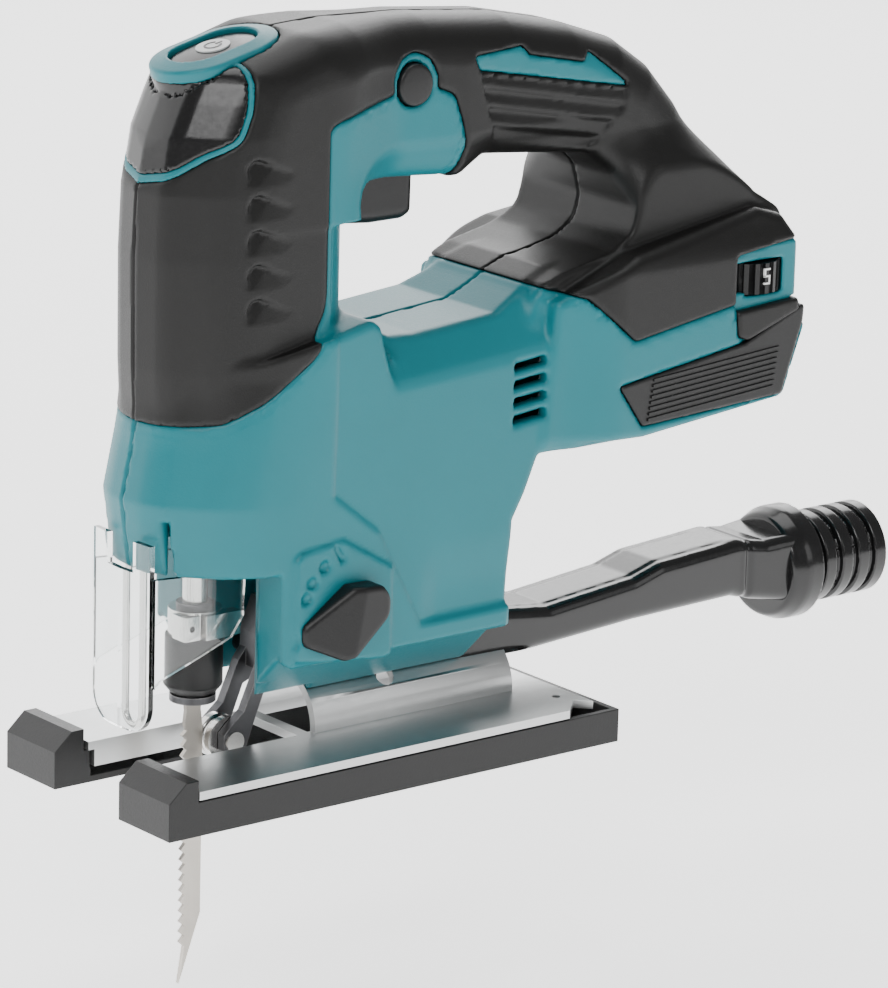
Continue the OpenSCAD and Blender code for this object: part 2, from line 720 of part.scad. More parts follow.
// Black twist sleeve that opens the clamp
module clamp_sleeve() {
  color([0.1, 0.1, 0.1]) difference() {
    union() {
      translate([0, 0, clamp_z0 + 2.2]) cylinder(h = 2.4, r1 = 6.2, r2 = 8.2);
      translate([0, 0, clamp_z0 + 4.6 - eps]) cylinder(h = clamp_z1 - clamp_z0 - 4.6 + eps, r = 8.2);
    }
    cylinder(h = 100, r = 5.2 + run_gap);
  }
}
// Metal lever ring fixed on the sleeve
module release_lever() {
  color([0.74, 0.75, 0.76]) difference() {
    union() {
      translate([0, 0, clamp_z1]) cylinder(h = 7.5, r = 7.4);
      translate([-3, -9.6, clamp_z1 + 0.4]) cube([11.8, 4, 6.8]);
      translate([-9, -8, clamp_z1 + 0.4]) cube([5, 6, 6.8]);
    }
    cylinder(h = 100, r = 5.2 + run_gap);
    translate([-6.6, 0, clamp_z1 + 3.8]) rotate([90, 0, 0]) cylinder(h = 20, r = 0.9);
  }
}

// Blade with T-shank; the teeth point forward and up
module blade() {
  z_top = clamp_z0 - 7;
  front = -blade_w / 2;
  n = floor((z_top + 0.84 * blade_reach) / tooth_pitch);
  color([0.72, 0.72, 0.7]) rotate([90, 0, 0]) linear_extrude(blade_t, center = true)
    polygon(concat(
      [[shank_half, z_top + 20], [shank_half, z_top + 8], [shank_half - 0.5, z_top + 4], [shank_half, z_top],
        [-front, z_top - 1], [-front, -blade_reach * 0.66], [front - 0.8, -blade_reach]],
      [for (k = [n:-1:1], j = [0:1]) j == 0 ? [front + 0.9, z_top - tooth_pitch * (k + 0.45)]
        : [front - 0.6, z_top - tooth_pitch * k]],
      [[front + 0.9, z_top - 0.6 * tooth_pitch], [-shank_half, z_top], [0.5 - shank_half, z_top + 4],
        [-shank_half, z_top + 8], [-shank_half, z_top + 20]]));
}

module y_rod(x, z, y0, y1, r) translate([x, y0, z]) rotate([-90, 0, 0]) cylinder(h = y1 - y0, r = r);

roller_half = 3.2;
module guide_roller() {
  color([0.75, 0.74, 0.72]) difference() {
    y_rod(roller_x, roller_z, -roller_half, roller_half, roller_r);
    y_rod(roller_x, roller_z, -10, 10, 2 + run_gap);
    // groove that steadies the back of the blade
    translate([roller_x, 0, roller_z]) rotate([90, 0, 0]) rotate_extrude()
      translate([roller_r + 0.6, 0]) circle(r = 1.3, $fn = 24);
  }
}
module roller_pin() {
  color([0.7, 0.7, 0.7]) {
    y_rod(roller_x, roller_z, -7.4, 7.4, 2);
    y_rod(roller_x, roller_z, -7.4, -6.4, 2.9);
  }
}

// Forked arm that carries the roller and swings about its pin in the cheeks
module roller_arm() {
  color([0.12, 0.12, 0.12]) difference() {
    union() {
      for (s = [-1, 1]) translate([0, s * 4.9, 0]) {
        slab([[roller_x - 1, roller_z + 4.4], [roller_x - 3.2, roller_z + 2.2], [roller_x - 3.2, roller_z - 2.4],
          [roller_x, roller_z - 4.4], [roller_x + 4, roller_z - 3.2], [roller_x + 5.8, roller_z + 2],
          [arm_x - 5.4, arm_z - 9], [arm_x + 4, arm_z - 5], [arm_x + 4.6, arm_z + 2], [arm_x - 1, arm_z + 6],
          [arm_x - 7, arm_z - 2], [roller_x + 3.4, roller_z + 8]], 1.5);
      }
      slab([[arm_x - 4.5, arm_z - 4], [arm_x + 4.2, arm_z - 4], [arm_x + 3, arm_z + 15.5], [arm_x - 1, arm_z + 15.5],
        [arm_x - 4.5, arm_z + 6]], 6.4);
    }
    y_rod(arm_x, arm_z, -20, 20, 2.5 + run_gap);
    y_rod(roller_x, roller_z, -20, 20, 2.005);
    y_rod(roller_x, roller_z, -8, -6.4 + eps, 2.905);
  }
}
module arm_pin() {
  color([0.7, 0.7, 0.7]) y_rod(arm_x, arm_z, -14.5, 14.5, 2.5);
}

// Lever pointer on the left flank
module orbital_lever() {
  color([0.06, 0.06, 0.06]) difference() {
    translate([lever_x, -body_half - 0.3, lever_z]) rotate([90, 0, 0]) {
      cylinder(h = 7, r = 6.4);
      linear_extrude(7) polygon([[0, 6.4], [-14, 0], [-18.5, -5], [-17, -10.5], [-9, -13], [-2, -12], [6.2, -3]]);
    }
    y_rod(lever_x, lever_z, -body_half - 4, 0, 3.005);
  }
}
// Shaft with the half-moon cam that sets how far the arm may swing
module orbital_cam() {
  color([0.7, 0.7, 0.7]) {
    y_rod(lever_x, lever_z, -body_half - 3.9, -body_half - 0.2, 3);
    y_rod(lever_x, lever_z, -body_half - 0.25, -8, lever_shaft_r);
    difference() {
      y_rod(lever_x, lever_z, -8 - eps, 4, 3.4);
      translate([lever_x - 10, -20, lever_z - 4]) cube([9, 40, 8]);
    }
  }
}

// Clear guard in front of the blade; it slides up along the nose
shroud_z0 = 20.4;
shroud_z1 = 73.6;
shroud_half = 13;
corner_r = 8.2;
module chip_shroud() {
  color([0.85, 0.88, 0.9, 0.35]) {
    intersection() {
      linear_extrude(100) polygon([[-23.2, 0], [-22.4, shroud_half + 1.3], [-24, shroud_half + 1.3], [-25, 0],
        [-24, -shroud_half - 1.3], [-22.4, -shroud_half - 1.3]]);
      union() {
        for (s = [-1, 1]) translate([0, s * (shroud_half - corner_r), shroud_z0 + corner_r]) rotate([0, -90, 0])
          cylinder(h = 60, r = corner_r);
        translate([-60, -shroud_half + corner_r, shroud_z0]) cube([60, 2 * (shroud_half - corner_r), 20]);
        translate([-60, -shroud_half, shroud_z0 + corner_r]) cube([60, 2 * shroud_half, 36.4]);
        for (s = [-1, 1]) translate([-60, s * 9.5 - 3.5, shroud_z0 + 40]) cube([60, 7, shroud_z1 - shroud_z0 - 40]);
      }
    }
    // wings beside the clamp
    for (s = [-1, 1]) translate([0, s * 13.5, 0])
      slab([[-23, 34], [-21, 36], [-8, 40.5], [2.5, 44.5], [6.4, 50], [6.8, 62.5], [-23, 64.5]], 0.8);
  }
}

// Bent steel wire that keeps fingers off the blade
module guard_wire() {
  color([0.7, 0.66, 0.58]) {
    for (s = [-1, 1]) translate([wire_x, s * wire_y, 24]) cylinder(h = wire_z1 - 24, r = 1);
    translate([wire_x, 0, 24]) rotate([90, 0, 90]) rotate(180) rotate_extrude(angle = 180)
      translate([wire_y, 0]) circle(r = 1, $fn = 24);
  }
}

// Pressed shoe plate with its half-round tilt guide
module base_plate() {
  plate_half = half_w - 0.2;
  color([0.72, 0.73, 0.74]) difference() {
    union() {
      translate([shoe_x0 + 10, -plate_half, plate_z - plate_t])
        cube([plate_x1 - shoe_x0 - 10, 2 * plate_half, plate_t]);
      // turned-down side flanges, inside the cover
      for (s = [-1, 1]) translate([shoe_x0 + 12, s * (half_w - skirt_t - 1.6) - 1.4, sole_t + 0.1])
        cube([plate_x1 - shoe_x0 - 20, 2.8, plate_z - sole_t - 1]);
      // flanges of the blade opening
      for (s = [-1, 1]) translate([shoe_x0 + 12, s * (gap_half + 1.2) - 1.2, sole_t + 3])
        cube([gap_x1 - shoe_x0 - 11, 2.4, plate_z - sole_t - 4]);
      translate([guide_x0, 0, tilt_z]) rotate([0, 90, 0]) cylinder(h = guide_x1 - guide_x0, r = guide_r);
    }
    // blade opening
    translate([shoe_x0 - 1, -gap_half, -1]) cube([gap_x1 - shoe_x0 + 1, 2 * gap_half, plate_z + 5]);
    // inside of the guide
    translate([guide_x0 - 1, 0, tilt_z]) rotate([0, 90, 0]) cylinder(h = guide_x1 - guide_x0 - 1.4, r = guide_r - plate_t);
    translate([guide_x0 - 1, -guide_r + plate_t, -10]) cube([guide_x1 - guide_x0 - 1.4, 2 * (guide_r - plate_t), tilt_z + 10]);
    translate([guide_x0 - 1, -50, -10]) cube([guide_x1 + 2 - guide_x0, 100, sole_t + 10.05]);
    translate([guide_x0 - 1, -guide_r - 0.5, -10]) cube([guide_x1 + 2 - guide_x0, 2 * guide_r + 1, plate_z - plate_t + 10]);
    // curved slot for the clamping bolt
    for (s = [-1, 1]) translate([bolt_x, 0, tilt_z]) rotate([s * 46, 0, 0]) cylinder(h = 30, r = bolt_r + 0.5);
    translate([bolt_x - bolt_r - 0.5, 0, tilt_z]) rotate([90, 0, 90]) linear_extrude(2 * bolt_r + 1)
      polygon([[0, 0], [20 * sin(46), 20 * cos(46)], [0, 30], [-20 * sin(46), 20 * cos(46)]]);
    // rear corners cut back
    for (s = [-1, 1]) translate([plate_x1 - 4, s * plate_half, -1]) rotate(45) translate([-5, -5, 0]) cube([10, 10, 20]);
    // locating hole
    for (s = [-1, 1]) translate([112 - 4, s * 26, 0]) cylinder(h = 20, r = 1.2);
  }
}

bolt_x = 58;
bolt_r = 2.5;

// Black plastic cover clipped under the shoe, with two nose bumpers
module sole_cover() {
  nose = 11;
  color([0.1, 0.1, 0.1]) difference() {
    union() {
      difference() {
        translate([shoe_x0, -half_w, 0]) cube([shoe_l, shoe_w, plate_z - plate_t - 0.3]);
        translate([shoe_x0 + nose + 0.8, -half_w + skirt_t, sole_t]) cube([shoe_l - nose - 2.8, shoe_w - 2 * skirt_t, 20]);
      }
      for (s = [-1, 1]) translate([0, s * (half_w + gap_half + 1.6) / 2, 0])
        slab([[shoe_x0, 0], [shoe_x0, 10.6], [shoe_x0 + 5.6, 15.6], [shoe_x0 + 9.6, 15.6], [shoe_x0 + 9.6, 0]],
          (half_w - gap_half - 1.6) / 2);
    }
    translate([shoe_x0 - 1, -gap_half - 1.6, -1]) cube([gap_x1 - shoe_x0 + 2, 2 * (gap_half + 1.6), 30]);
    // key access to the clamping bolt and room for the guide
    translate([guide_x0 + 2, -guide_r + 2, -1]) cube([guide_x1 - guide_x0 - 4, 2 * guide_r - 4, sole_t + 2]);
    // the pressed guide walls pass the hollow of the cover
    for (s = [-1, 1]) translate([shoe_x0 + 11.5, s * (gap_half + 1.2) - 1.5, sole_t + 2.4]) cube([gap_x1 - shoe_x0 - 9, 3, 20]);
  }
}

// Hex-socket bolt and its curved washer, which clamp the tilt guide to the housing
module base_bolt() {
  color([0.6, 0.6, 0.62]) difference() {
    union() {
      translate([bolt_x, 0, tilt_z + guide_r - plate_t - 4]) cylinder(h = 14, r = bolt_r);
      translate([bolt_x, 0, tilt_z + guide_r - plate_t - 7]) cylinder(h = 4, r = 4.5);
    }
    translate([bolt_x, 0, tilt_z + guide_r - plate_t - 8]) cylinder(h = 3.5, r = 2, $fn = 6);
  }
}
module clamp_plate() {
  color([0.55, 0.55, 0.56]) difference() {
    intersection() {
      translate([bolt_x - 9, 0, tilt_z]) rotate([0, 90, 0]) cylinder(h = 18, r = guide_r - plate_t - 0.3);
      translate([bolt_x - 10, -7, tilt_z + guide_r - plate_t - 3]) cube([20, 14, 10]);
    }
    translate([bolt_x, 0, 0]) cylinder(h = 60, r = bolt_r + 0.1);
  }
}

duct_half = 11;
cuff_x0 = 193;
cuff_z = 29;
function duct_pts() = [[body_x1, 28.6], [body_x1, 50], [91, 50], [99, 35.5], [112, 33.5], [176, 34], [cuff_x0, 36], [cuff_x0, 21],
  [130, 21], [guide_x1 + 3, 28.6]];
// Rectangular dust duct behind the housing
module dust_duct() {
  color([0.07, 0.07, 0.07]) difference() {
    slab(duct_pts(), duct_half);
    slab(duct_pts(), duct_half - 1.8, 1.8);
    translate([cuff_x0 - 3, -duct_half + 1.8, 22.8]) cube([10, 2 * (duct_half - 1.8), 11.4]);
    translate([80, -9, 36]) cube([12, 18, 12]);
    // lower corners kept clear of the tilting shoe
    for (s = [-1, 1]) rotate([90, 0, 90]) linear_extrude(124)
      polygon([[s * 7.4, 0], [s * 7.4, tilt_z + 8.4], [s * 14, tilt_z + 15], [s * 20, 0]]);
  }
}

// Rear piece of the duct, with a flange and a ringed cuff for the hose
module hose_cuff() {
  color([0.07, 0.07, 0.07]) difference() {
    union() {
      slab([[cuff_x0 + 0.2, 21], [cuff_x0 + 0.2, 36], [216, 40], [216, 21]], duct_half);
      x_rod(212, 219, cuff_z + 1, 17);
      x_rod(218, 256, cuff_z + 1, cuff_r - 0.9);
      for (k = [0:3]) x_rod(224 + 8 * k, 229.5 + 8 * k, cuff_z + 1, cuff_r);
    }
    x_rod(212, 260, cuff_z + 1, cuff_bore_r);
    translate([cuff_x0 - 1, -duct_half + 1.8, 22.8]) cube([213 - cuff_x0, 2 * (duct_half - 1.8), 11.4]);
  }
}

module housing_screws() {
  color([0.3, 0.3, 0.32]) for (p = screw_at) {
    difference() {
      union() {
        y_rod(p[0], p[1], -8.5, head_y + 0.1, screw_r);
        y_rod(p[0], p[1], head_y + 0.05, head_y + 2.8, head_r);
      }
      translate([p[0], head_y + 1.6, p[1]]) rotate([-90, 0, 0]) cylinder(h = 4, r = 1.5, $fn = 6);
    }
  }
}

housing_left();
housing_right();
grip_left();
grip_right();
front_cap();
button_bezel();
mode_button();
trigger();
trigger_spring();
lock_button();
speed_dial();
dial_pin();
dock_panel_left();
dock_panel_right();
dock_rails();
terminal_block();
terminal_blades();
switch_box();
controller_box();
lamp_lens();
motor_stator();
motor_rotor();
cooling_fan();
front_bearing();
rear_bearing();
motor_pinion();
gear_housing();
crank_gear();
crank_pin();
gear_shaft();
balance_plate();
plunger_guide();
guide_pivot_pin();
lower_bush();
upper_bush();
plunger();
plunger_seal();
clamp_body();
clamp_sleeve();
release_lever();
blade();
guide_roller();
roller_pin();
roller_arm();
arm_pin();
orbital_lever();
orbital_cam();
chip_shroud();
guard_wire();
base_plate();
sole_cover();
base_bolt();
clamp_plate();
dust_duct();
hose_cuff();
housing_screws();
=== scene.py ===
import math
import bpy
import numpy as np
from mathutils import Matrix, Vector


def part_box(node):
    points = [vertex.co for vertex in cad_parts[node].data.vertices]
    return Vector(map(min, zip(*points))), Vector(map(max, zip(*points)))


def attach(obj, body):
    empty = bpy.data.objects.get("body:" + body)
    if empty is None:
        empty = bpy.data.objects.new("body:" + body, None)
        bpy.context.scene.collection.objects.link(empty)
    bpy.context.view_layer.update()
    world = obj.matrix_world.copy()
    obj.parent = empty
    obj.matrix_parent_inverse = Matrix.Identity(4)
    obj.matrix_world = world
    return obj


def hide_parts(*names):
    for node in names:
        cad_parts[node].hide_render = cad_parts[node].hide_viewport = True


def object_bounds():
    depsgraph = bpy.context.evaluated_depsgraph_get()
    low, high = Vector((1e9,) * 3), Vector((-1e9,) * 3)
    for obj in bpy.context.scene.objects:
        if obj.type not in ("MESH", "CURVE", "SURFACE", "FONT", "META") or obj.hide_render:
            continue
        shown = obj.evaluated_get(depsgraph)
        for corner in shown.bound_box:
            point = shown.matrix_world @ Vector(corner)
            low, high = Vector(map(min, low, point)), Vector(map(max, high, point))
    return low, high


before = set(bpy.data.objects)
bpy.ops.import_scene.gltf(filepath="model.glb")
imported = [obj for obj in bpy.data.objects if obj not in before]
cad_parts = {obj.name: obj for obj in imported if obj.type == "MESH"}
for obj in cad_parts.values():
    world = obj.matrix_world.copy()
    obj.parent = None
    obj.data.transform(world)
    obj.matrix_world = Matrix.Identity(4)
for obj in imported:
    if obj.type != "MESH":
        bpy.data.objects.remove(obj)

cad_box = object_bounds()

# ---------------------------------------------------------------- housing halves
# Two half shells of fine-matt teal nylon, moulded, closed on the middle line and
# screwed from the right. The loop handle, the motor body and the battery dock are one.

MM = 0.001


def ramp(low, high, value):
    """0 below low, 1 above high, and an even curve between."""
    t = np.clip((value - low) / (high - low), 0, 1)
    return t * t * (3 - 2 * t)


def blend(a, b, share):
    return a + (b - a) * share


def meet(a, b, radius):
    """What lies inside both a and b, with the edge between them rounded."""
    u, v = np.maximum(a + radius, 0), np.maximum(b + radius, 0)
    return np.minimum(np.maximum(a, b), -radius) + np.sqrt(u * u + v * v)


def join(a, b, radius):
    """a and b together, with a fillet between them."""
    return -meet(-a, -b, radius)


def cut(a, b, radius):
    """a with b taken away, and the rim rounded."""
    return meet(a, -b, radius)


def eased(corners, radius):
    """A closed outline whose corners are turned into short curves."""
    pts, out = np.array([c[:2] for c in corners], float), []
    for i, here in enumerate(pts):
        back, ahead = pts[i - 1] - here, pts[(i + 1) % len(pts)] - here
        size = corners[i][2] if len(corners[i]) > 2 else radius
        lengths = np.linalg.norm(back), np.linalg.norm(ahead)
        bend = math.acos(np.clip(np.dot(back, ahead) / (lengths[0] * lengths[1]), -1, 1))
        reach = min(size / max(math.tan(bend / 2), 1e-3), 0.48 * min(lengths))
        start, end = here + back / lengths[0] * reach, here + ahead / lengths[1] * reach
        for t in (0, 0.25, 0.5, 0.75, 1):
            out.append((1 - t) ** 2 * start + 2 * t * (1 - t) * here + t * t * end)
    return np.array(out)


def edge_distance(pts, a, b):
    nearest, inside = np.full(a.shape, 1e12), np.zeros(a.shape, bool)
    for (x0, y0), (x1, y1) in zip(pts, np.roll(pts, -1, axis=0)):
        ex, ey = x1 - x0, y1 - y0
        if ex * ex + ey * ey < 1e-12:
            continue
        px, py = a - x0, b - y0
        t = np.clip((px * ex + py * ey) / (ex * ex + ey * ey), 0, 1)
        nearest = np.minimum(nearest, (px - t * ex) ** 2 + (py - t * ey) ** 2)
        if ey:
            inside ^= ((b >= y0) != (b >= y1)) & (px < ex * py / ey)
    return np.where(inside, -1, 1) * np.sqrt(nearest)


def outline(corners, radius=0.0, pitch=0.4, rim=8.0):
    """Distance from a flat closed outline, negative inside it. It is worked out once on a
    fine sheet of points and read back from there."""
    pts = eased(corners, radius) if radius else np.array([c[:2] for c in corners], float)
    low = np.maximum(pts.min(0), -48) - rim
    high = np.minimum(pts.max(0), 262) + rim
    size = np.ceil((high - low) / pitch).astype(int) + 1
    sheet = edge_distance(pts, *np.meshgrid(*(low[k] + pitch * np.arange(size[k]) for k in (0, 1)),
                                            indexing="ij"))

    def distance(a, b):
        u = np.clip((a - low[0]) / pitch, 0, size[0] - 1.001)
        v = np.clip((b - low[1]) / pitch, 0, size[1] - 1.001)
        u, v = np.broadcast_arrays(u, v)
        i, j = u.astype(int), v.astype(int)
        u, v = u - i, v - j
        return ((sheet[i, j] * (1 - u) + sheet[i + 1, j] * u) * (1 - v)
                + (sheet[i, j + 1] * (1 - u) + sheet[i + 1, j + 1] * u) * v)
    return distance


def facets(corners, a, b, ease):
    """Distance outside a bent wall given by its corners, walked with the inside on the right."""
    out = None
    for (x0, y0), (x1, y1) in zip(corners, corners[1:]):
        length = math.hypot(x1 - x0, y1 - y0)
        face = ((y1 - y0) * (x0 - a) + (x1 - x0) * (b - y0)) / length
        out = face if out is None else meet(out, face, ease)
    return out


def box(x, y, z, low, high, radius):
    """A block with rounded edges."""
    mid, half = (np.array(low) + high) / 2, (np.array(high, float) - low) / 2 - radius
    q = [np.abs(v - m) - h for v, m, h in zip((x, y, z), mid, half)]
    outside = np.sqrt(sum(np.maximum(v, 0) ** 2 for v in q))
    return outside + np.minimum(np.maximum(np.maximum(q[0], q[1]), q[2]), 0) - radius


def moulding(name, low, high, step, shape):
    """A closed mesh of the solid where shape(x, y, z) is negative, all in millimetres."""
    axes = [np.arange(lo - step, hi + 2 * step, step) for lo, hi in zip(low, high)]
    grid = [axes[0][:, None, None], axes[1][None, :, None], axes[2][None, None, :]]
    size = tuple(len(a) for a in axes)
    value = np.broadcast_to(shape(*grid), size).astype(np.float32)
    value = np.where(np.abs(value) < 1e-5, np.float32(1e-5), value)
    solid = value < 0
    for axis in range(3):
        solid[tuple(slice(None) if k != axis else [0, -1] for k in range(3))] = False
    value = np.where(~solid & (value < 0), np.float32(0.01), value)
    corner = [(i, j, k) for i in (0, 1) for j in (0, 1) for k in (0, 1)]

    def shifted(array, c):
        return array[tuple(slice(c[k], size[k] - 1 + c[k]) for k in range(3))]
    filled = sum(shifted(solid, c).astype(np.int8) for c in corner)
    cell = np.argwhere((filled > 0) & (filled < 8))
    number = np.full(tuple(n - 1 for n in size), -1, np.int32)
    number[tuple(cell.T)] = np.arange(len(cell))
    total, count = np.zeros((len(cell), 3)), np.zeros(len(cell))
    for c in corner:
        for axis in range(3):
            if c[axis]:
                continue
            d = tuple(v + (k == axis) for k, v in enumerate(c))
            v0, v1 = (value[tuple((cell + e).T)] for e in (c, d))
            hit = (v0 < 0) != (v1 < 0)
            t = np.where(hit, v0 / np.where(hit, v0 - v1, 1), 0)
            spot = np.array(c, float)[None] + t[:, None] * (np.array(d) - c)[None]
            total += np.where(hit[:, None], spot, 0)
            count += hit
    points = (cell + total / count[:, None]) * step + [a[0] for a in axes]
    home = points.copy()
    for _ in range(3):
        here = shape(*points.T)
        slope = np.stack([(shape(*(points + e).T) - here) / (0.05 * step)
                          for e in np.eye(3) * 0.05 * step], axis=1)
        move = -here[:, None] * slope / np.maximum((slope ** 2).sum(1), 0.25)[:, None]
        points = home + np.clip(points + move - home, -0.75 * step, 0.75 * step)
    quads = []
    for axis in range(3):
        u, v = [k for k in range(3) if k != axis]
        a = solid[tuple(slice(0, -1) if k == axis else slice(1, -1) for k in range(3))]
        b = solid[tuple(slice(1, None) if k == axis else slice(1, -1) for k in range(3))]
        for flip, edge in ((False, a & ~b), (True, ~a & b)):
            at = np.argwhere(edge)
            at[:, u] += 1
            at[:, v] += 1
            ring = []
            for du, dv in ((0, 0), (1, 0), (1, 1), (0, 1)):
                c = at.copy()
                c[:, u] -= du
                c[:, v] -= dv
                ring.append(number[tuple(c.T)])
            ring = np.stack(ring, axis=1)
            quads.append(ring[:, ::-1] if flip ^ (axis == 1) else ring)
    quads = np.concatenate(quads)
    mesh = bpy.data.meshes.new(name)
    mesh.from_pydata((points * MM).tolist(), [], quads.tolist())
    mesh.validate()
    mesh.update()
    mesh.shade_smooth()
    piece = bpy.data.objects.new(name, mesh)
    bpy.context.scene.collection.objects.link(piece)
    return piece


LOOP_EDGE = outline([(-26, 90), (-26, 170), (-18.5, 180), (-13.5, 192, 12), (-12, 197.5, 4),
                     (22, 207.6, 20), (38, 208.6), (65, 208),
                     (95, 205.5), (118, 201), (135, 195.5), (147, 187.5), (157, 176.5), (169, 159.5, 14),
                     (176, 150), (186, 144), (186, 124), (112, 110), (60, 90)], 5)
LOOP_HOLE = outline([(37, 166), (37, 138), (42, 127), (52, 110), (90, 110), (97, 131), (106, 134.5),
                     (124, 138.5, 8),
                     (131, 143), (133, 150), (130, 160), (123, 165.5), (88, 168), (77, 163.8)], 7)
PILLAR_FRONT = [(-21, 0), (-18.8, 10.5), (-9, 21.5), (3, 26), (24, 26)]
PILLAR_BACK = [(3, 26), (24, 26), (32, 20.5), (38.5, 11), (39.5, 0)]


def handle_loop(x, y, z):
    """Pillar, handle and rear leg in one, as broad as the dock at its foot."""
    side = np.abs(y)
    handle = ramp(28, 56, x) * ramp(150, 172, z)
    leg = ramp(108, 130, x) * ramp(138, 158, z)
    easing = 3 + 11 * np.maximum(np.maximum(handle, leg), ramp(170, 198, z))
    foot = ramp(66, 96, x) * (1 - ramp(141, 172, z))
    half = blend(blend(26, 19, ramp(24, 56, x) * ramp(150, 172, z)), 25 + 11 * ramp(92, 122, x), foot)
    body = meet(np.maximum(LOOP_EDGE(x, z), -LOOP_HOLE(x, z)), side - half, easing)
    lean = np.interp(z, [98, 120, 150, 168, 183, 192, 197, 204], [1.4, 0.2, 0, 0.8, 3.5, 7.5, 10, 16])
    body = meet(body, facets(PILLAR_FRONT, x - lean, side, 1.2), 1.0)
    off = 400 * np.maximum(ramp(157, 166, z), ramp(44, 60, x))
    return meet(body, facets(PILLAR_BACK, x, side, 1.5) - off, 1.0)


BODY_EDGE = outline([(-27, 64.6), (-27, 116), (-14, 120), (37, 131), (42, 127.5), (50, 123.4), (58, 123.2),
                     (85, 125.6),
                     (97, 131), (106, 134.5), (124, 134), (124, 86), (96, 85.5), (91.5, 75), (87.5, 68),
                     (86.5, 44),
                     (86, 22), (8, 22, 6), (8, 64.6)], 1.2)
NOSE = [(-24.5, 0), (-23.2, 11), (-16, 20.5), (-6, 28), (6, 31), (40, 31)]
FLANK_PANEL = outline([(24, 113), (23.5, 84), (39, 72), (47, 57), (54.5, 43), (84, 43.6), (140, 43),
                       (140, 140), (24, 140)])
TILT_CENTRE = 13.0


def motor_body(x, y, z):
    """The wedge-fronted motor body, undercut so that the shoe can tilt."""
    side = np.abs(y)
    flank = 31.2 - np.clip(-1.2 * FLANK_PANEL(x, z), 0, 1.3) + 5.4 * ramp(99, 121,
        x) - 1.0 * (1 - ramp(50, 66.5, z)) * ramp(54, 62, x) * ramp(42.5, 45, z)
    body = meet(BODY_EDGE(x, z), side - flank, 1.8)
    lean = np.interp(z, [60, 65, 70, 84, 104, 118], [3.4, 2.9, 2.0, 0.1, 4.6, 8])
    body = meet(body, facets(NOSE, x - lean, side, 3), 1.0)
    roof, eave = 122.3 + 0.119 * (x - 46), 110.3 + 0.069 * (x - 24.3)
    slope = roof - eave
    shoulder = ((side - 21) * slope + (z - roof) * 9) / np.sqrt(slope ** 2 + 81)
    body = meet(body, shoulder - 25 * (1 - ramp(32, 46, x)), 1.5)
    wedge = meet((z - TILT_CENTRE - side) * 0.7071, np.sqrt(y * y + (z - TILT_CENTRE) ** 2) - 38.9, 0.5)
    cradle = np.sqrt(y * y + (z - TILT_CENTRE) ** 2) - 15.3
    return meet(meet(body, -wedge, 1.0), -cradle, 0.6)


DOCK_EDGE = outline([(96, 88), (129, 87), (181, 92), (188.4, 112), (184.8, 121), (184.8, 137.5),
                     (181.5, 144), (173, 146.5),
                     (126, 138.5), (100, 128)], 2.0)


def battery_dock(x, y, z):
    """The broad block at the foot of the leg that the battery slides under."""
    half = 31.2 + 5.1 * ramp(99, 121, x) - 5 * ramp(134, 147, z)
    return meet(DOCK_EDGE(x, z), np.abs(y) - half, 2.2)


def tool_body(x, y, z):
    whole = join(handle_loop(x, y, z), motor_body(x, y, z), 2.5)
    return join(whole, battery_dock(x, y, z), 2.0)


SOFT_EDGE = outline([(-60, 105), (-21, 105, 4), (-8, 106.5, 10), (2, 112, 12), (18, 124, 14),
                     (24.3, 136, 14), (24.3, 184), (28, 185.4, 4),
                     (38.4, 187.5, 10), (50.5, 189.4, 1.5), (50, 193.5), (52.5, 198.3, 6), (58, 200.4, 7),
                     (63, 198.3, 6), (65.5, 193.5), (65.6, 189.8, 1.5), (71.6, 187.4, 4),
                     (74.5, 180, 8), (76.6, 172, 3), (75.6, 168), (73, 163, 1), (78, 140), (79, 137.2),
                     (92, 133.4), (109, 128.6),
                     (124.2, 115.2, 2), (161.5, 121.2, 1), (162.6, 111.6, 1), (166, 110), (200, 122),
                     (200, 240), (-60, 240)], 3)
CAP_EDGE = outline([(-60, 167.8), (-22, 168, 3), (-10, 178, 18), (-2.5, 182.6, 8), (0.6, 190, 8),
                    (2.4, 200), (3, 215), (-60, 215)], 2)
WINDOW = outline([(161.2, 119), (184, 120.6), (190, 121), (190, 138), (181.2, 137.4), (161.2, 135)], 1.2)
RIB_PANEL = outline([(118.8, 103.0), (165.3, 109.8), (187.5, 119), (187.2, 113.4), (180, 92.8),
                     (127.8, 90.3)], 1.0)
ACCENT = outline([(78.5, 197), (95.8, 198.2), (98.3, 195.6), (117.6, 191.8), (120.4, 194.4),
                  (134.4, 183.6), (80.5, 193)], 0.6)
BEZEL_TILT = math.radians(14)


def soft_zone(x, y, z):
    """Where the rubber skin lies, seen from the side: negative inside."""
    zone = np.maximum(SOFT_EDGE(x, z), -ACCENT(x, z))
    return np.where(y < 0, np.maximum(zone, -WINDOW(x, z)), zone)


def bezel_frame(x, z):
    """Distances along and above the sloping top of the head."""
    u, w = x - 4, z - 203.4
    return (u * math.cos(BEZEL_TILT) + w * math.sin(BEZEL_TILT),
            w * math.cos(BEZEL_TILT) - u * math.sin(BEZEL_TILT))


def oval(x, y, z, half_long, half_wide):
    """Distance outside an upright oval standing on the head's sloping top."""
    along, _ = bezel_frame(x, z)
    return np.sqrt(np.maximum(np.abs(along) - (half_long - half_wide), 0) ** 2 + y * y) - half_wide


def bay_frame(x, z):
    tilt = math.radians(7.5)
    u, w = x - 124, z - 86
    return u * math.cos(tilt) + w * math.sin(tilt), w * math.cos(tilt) - u * math.sin(tilt)


def battery_bay(x, y, z):
    along, up = bay_frame(x, z)
    return np.maximum(np.maximum(2 - along, np.abs(y) - 33), np.maximum(-6 - up, up - 15))


